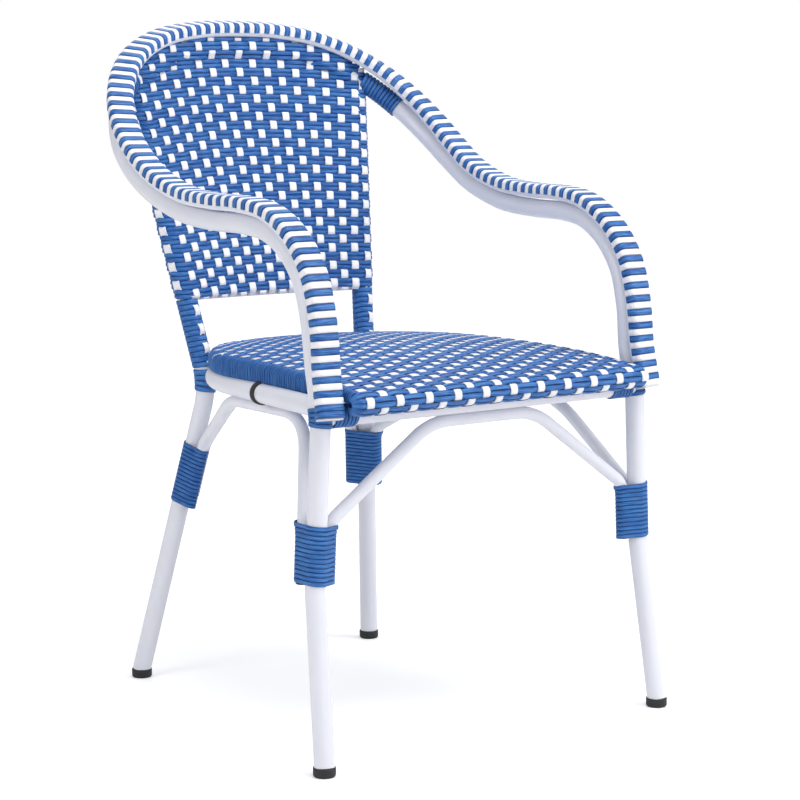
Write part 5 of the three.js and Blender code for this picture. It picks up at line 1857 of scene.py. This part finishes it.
    def build(self, shop: Workshop) -> None:
        """Makes the nail head, every winding and the white ties."""
        self._nail(shop)
        uprights = self.legs.rear()
        tab_root = self.tab_share * self.rails.tab.thickness
        tab = self.rails.height + self.legs.diameter / 2 - tab_root
        joint_top = self._distance_to(uprights, tab + self.rails.fit - self.joint_tilt)
        hem = self._distance_to(uprights, self.hem_height)
        plans = self._plans(uprights, joint_top, hem)
        tied = uprights.at(np.arange(joint_top - self.tie_overlap, hem, self.tie_step))
        for side in Side:
            hidden = side.flip(np.array(self.hidden_from_front))
            for plan in plans:
                if side is Side.LEFT and plan.name == "rear_leg":
                    plan = replace(plan, routes=plan.routes[:1])
                name = f"{side.word}_{plan.name}"
                strand = self._wound(shop, plan, hidden).on(side)
                look, node = Look.BLUE_WINDING, f"{name}_binding"
                shop.strands(f"{name}_winding", [strand], plan.size, look, node)
            tie = self._tied(shop, side, tied).on(side)
            shop.strands(f"{side.word}_upright_tie", [tie], self.tie, Look.WHITE_WEAVE)

    def _nail(self, shop: Workshop) -> None:
        """Nail head at the right rear winding: a dark rim round a pale centre."""
        place, axis = np.array(self.nail_place), np.array(self.nail_axis)
        for word, profile, sides, look in (
            ("rim", self.nail_rim, 24, Look.RUBBER), ("dot", self.nail_dot, 16, Look.PAINT)
        ):
            shop.body(f"right_rear_nail_{word}", turned(profile, place, axis, sides), look)

    def _tied(self, shop: Workshop, side: Side, here: Stations) -> Strand:
        """White strand down the front of the right upright, over and under the winding."""
        away = side.flip(np.array([*circle_at(math.radians(self.tie_degrees)), 0.0]))
        out = unit(away - here.along * (here.along @ away)[:, None])
        phase = 2.0 * (here.run - here.run[-1]) / self.tie_period - 0.5
        reach = self.legs.diameter / 2 + self.wide_strand.thickness * self.tie_share
        rise = reach + weave_wave(phase, self.tie_firmness) * self.tie_wave
        return Strand(here.points + out * rise[:, None], out, shop.tone())


# ---- Studio


def posed(name: str, data: ID, axes: Sequence[Array], place: Array) -> Object:
    """Object at a place in metres, with its own axes turned to three directions."""
    made = new_object(name, data)
    pose = np.eye(4)
    pose[:3, :3], pose[:3, 3] = np.stack(axes, axis=1), place
    made.matrix_world = Matrix(pose.tolist())
    return made


@dataclass
class Studio:
    """Floor, background, lamps and the camera of the photograph."""

    azimuth: float = -37.042
    elevation: float = 7.752
    roll: float = 0.073
    place: Triple = (-1849.3, -2536.3, 820.9)
    focal_pixels: float = 2383.0
    picture: float = 800.0
    sensor: float = 36.0
    principal: Pair = (399.5, 402.8)
    clip: Pair = (0.05, 60.0)
    room_light: float = 0.44
    aim: Triple = (0.0, 0.0, 0.45)
    lamps: tuple[tuple[str, Triple, float, float], ...] = (
        ("key_lamp", (2.0, -2.7, 2.0), 1.8, 58.0),
        ("top_lamp", (0.1, -1.0, 3.2), 2.2, 58.0),
        ("side_lamp", (-2.9, -0.2, 1.5), 1.2, 20.0),
        ("rear_lamp", (1.2, 2.6, 2.4), 2.0, 20.0),
    )
    floor_reach: float = 14.0
    floor_colour: tuple[float, float, float, float] = (0.86, 0.86, 0.87, 1.0)
    glow_distances: Pair = (1.0, 4.0)
    glow_strengths: Pair = (0.34, 0.68)

    def camera(self) -> None:
        """Sets the camera where the photograph was taken from."""
        azimuth, elevation, roll = map(math.radians, (self.azimuth, self.elevation, self.roll))
        right = np.array([math.cos(azimuth), math.sin(azimuth), 0.0])
        back = np.cross(right, UP) * math.cos(elevation) + UP * math.sin(elevation)
        top = np.cross(back, right)
        level = right * math.cos(roll) + top * math.sin(roll)
        plumb = -right * math.sin(roll) + top * math.cos(roll)
        data = bpy.data.cameras.new("photo_camera")
        data.sensor_width = self.sensor
        data.lens = self.sensor * self.focal_pixels / self.picture
        data.shift_x = (self.picture / 2 - self.principal[0]) / self.picture
        data.shift_y = (self.principal[1] - self.picture / 2) / self.picture
        data.clip_start, data.clip_end = self.clip
        place = np.array(self.place) * MM
        bpy.context.scene.camera = posed("photo_camera", data, (level, plumb, back), place)

    def _lamp(self, name: str, place: Triple, size: float, power: float) -> None:
        """Adds a square soft lamp that looks at the middle of the chair."""
        data = bpy.data.lights.new(name, "AREA")
        data.size, data.energy = size, power
        away = unit(np.array(place) - self.aim)
        across = unit(np.cross(UP, away))
        posed(name, data, (across, np.cross(away, across), away), np.array(place))

    def _world(self) -> None:
        """Plain soft surroundings, shown white to the camera and through clear things."""
        world = bpy.data.worlds.new("soft_white_room")
        bpy.context.scene.world = world
        w = Wiring.emptied(world)
        rays = w.add("ShaderNodeLightPath").outputs
        shown = w.math("MAXIMUM", rays["Is Camera Ray"], rays["Is Transmission Ray"])
        strength = in_range(w, shown, (self.room_light, 1.0))
        sky = w.add("ShaderNodeBackground", Color=WHITE, Strength=strength)
        w.add("ShaderNodeOutputWorld", Surface=sky.outputs[0])

    def _floor(self) -> None:
        """Pale floor that keeps the chair's soft shadow, and glows to white further out."""
        mesh = bpy.data.meshes.new("studio_floor")
        corners = [(x * self.floor_reach, y * self.floor_reach, 0.0)
                   for x, y in ((-1, -1), (1, -1), (1, 1), (-1, 1))]
        mesh.from_pydata(corners, [], [(0, 1, 2, 3)])
        floor = new_object("studio_floor", mesh)
        material = bpy.data.materials.new("pale_floor")
        w = Wiring.emptied(material)
        rays = w.add("ShaderNodeLightPath").outputs
        lit = w.add("ShaderNodeBsdfDiffuse", Color=self.floor_colour)
        where = w.add("ShaderNodeTexCoord").outputs["Object"]
        away = w.add("ShaderNodeVectorMath", {"operation": "LENGTH"}, i0=where).outputs["Value"]
        fade = in_range(w, away, self.glow_strengths, self.glow_distances)
        strength = w.math("MULTIPLY", rays["Is Camera Ray"], fade)
        glow = w.add("ShaderNodeEmission", Color=WHITE, Strength=strength)
        both = w.add("ShaderNodeAddShader", i0=lit.outputs[0], i1=glow.outputs[0])
        w.add("ShaderNodeOutputMaterial", Surface=both.outputs[0])
        mesh.materials.append(material)

    def build(self) -> None:
        """Sets the room, the lamps and the colour view."""
        self._world()
        self._floor()
        for lamp in self.lamps:
            self._lamp(*lamp)
        bpy.context.scene.view_settings.view_transform = "Standard"


def main() -> None:
    """Builds the studio, then every sub-assembly of the chair."""
    logging.basicConfig(level=logging.INFO, format="%(name)s: %(message)s")
    studio = Studio()
    studio.camera()
    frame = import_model()
    shop = Workshop()
    hoop = Hoop()
    legs = Legs(hoop)
    rails = SeatRails(legs)
    braces = Braces(legs)
    weave = (WovenSeat(rails), WovenBack(legs, hoop))
    for part in (hoop, legs, rails, braces, *weave, Bindings(legs, rails, braces)):
        LOG.info("building %s", type(part).__name__)
        part.build(shop)
    studio.build()


if __name__ == "__main__":
    main()
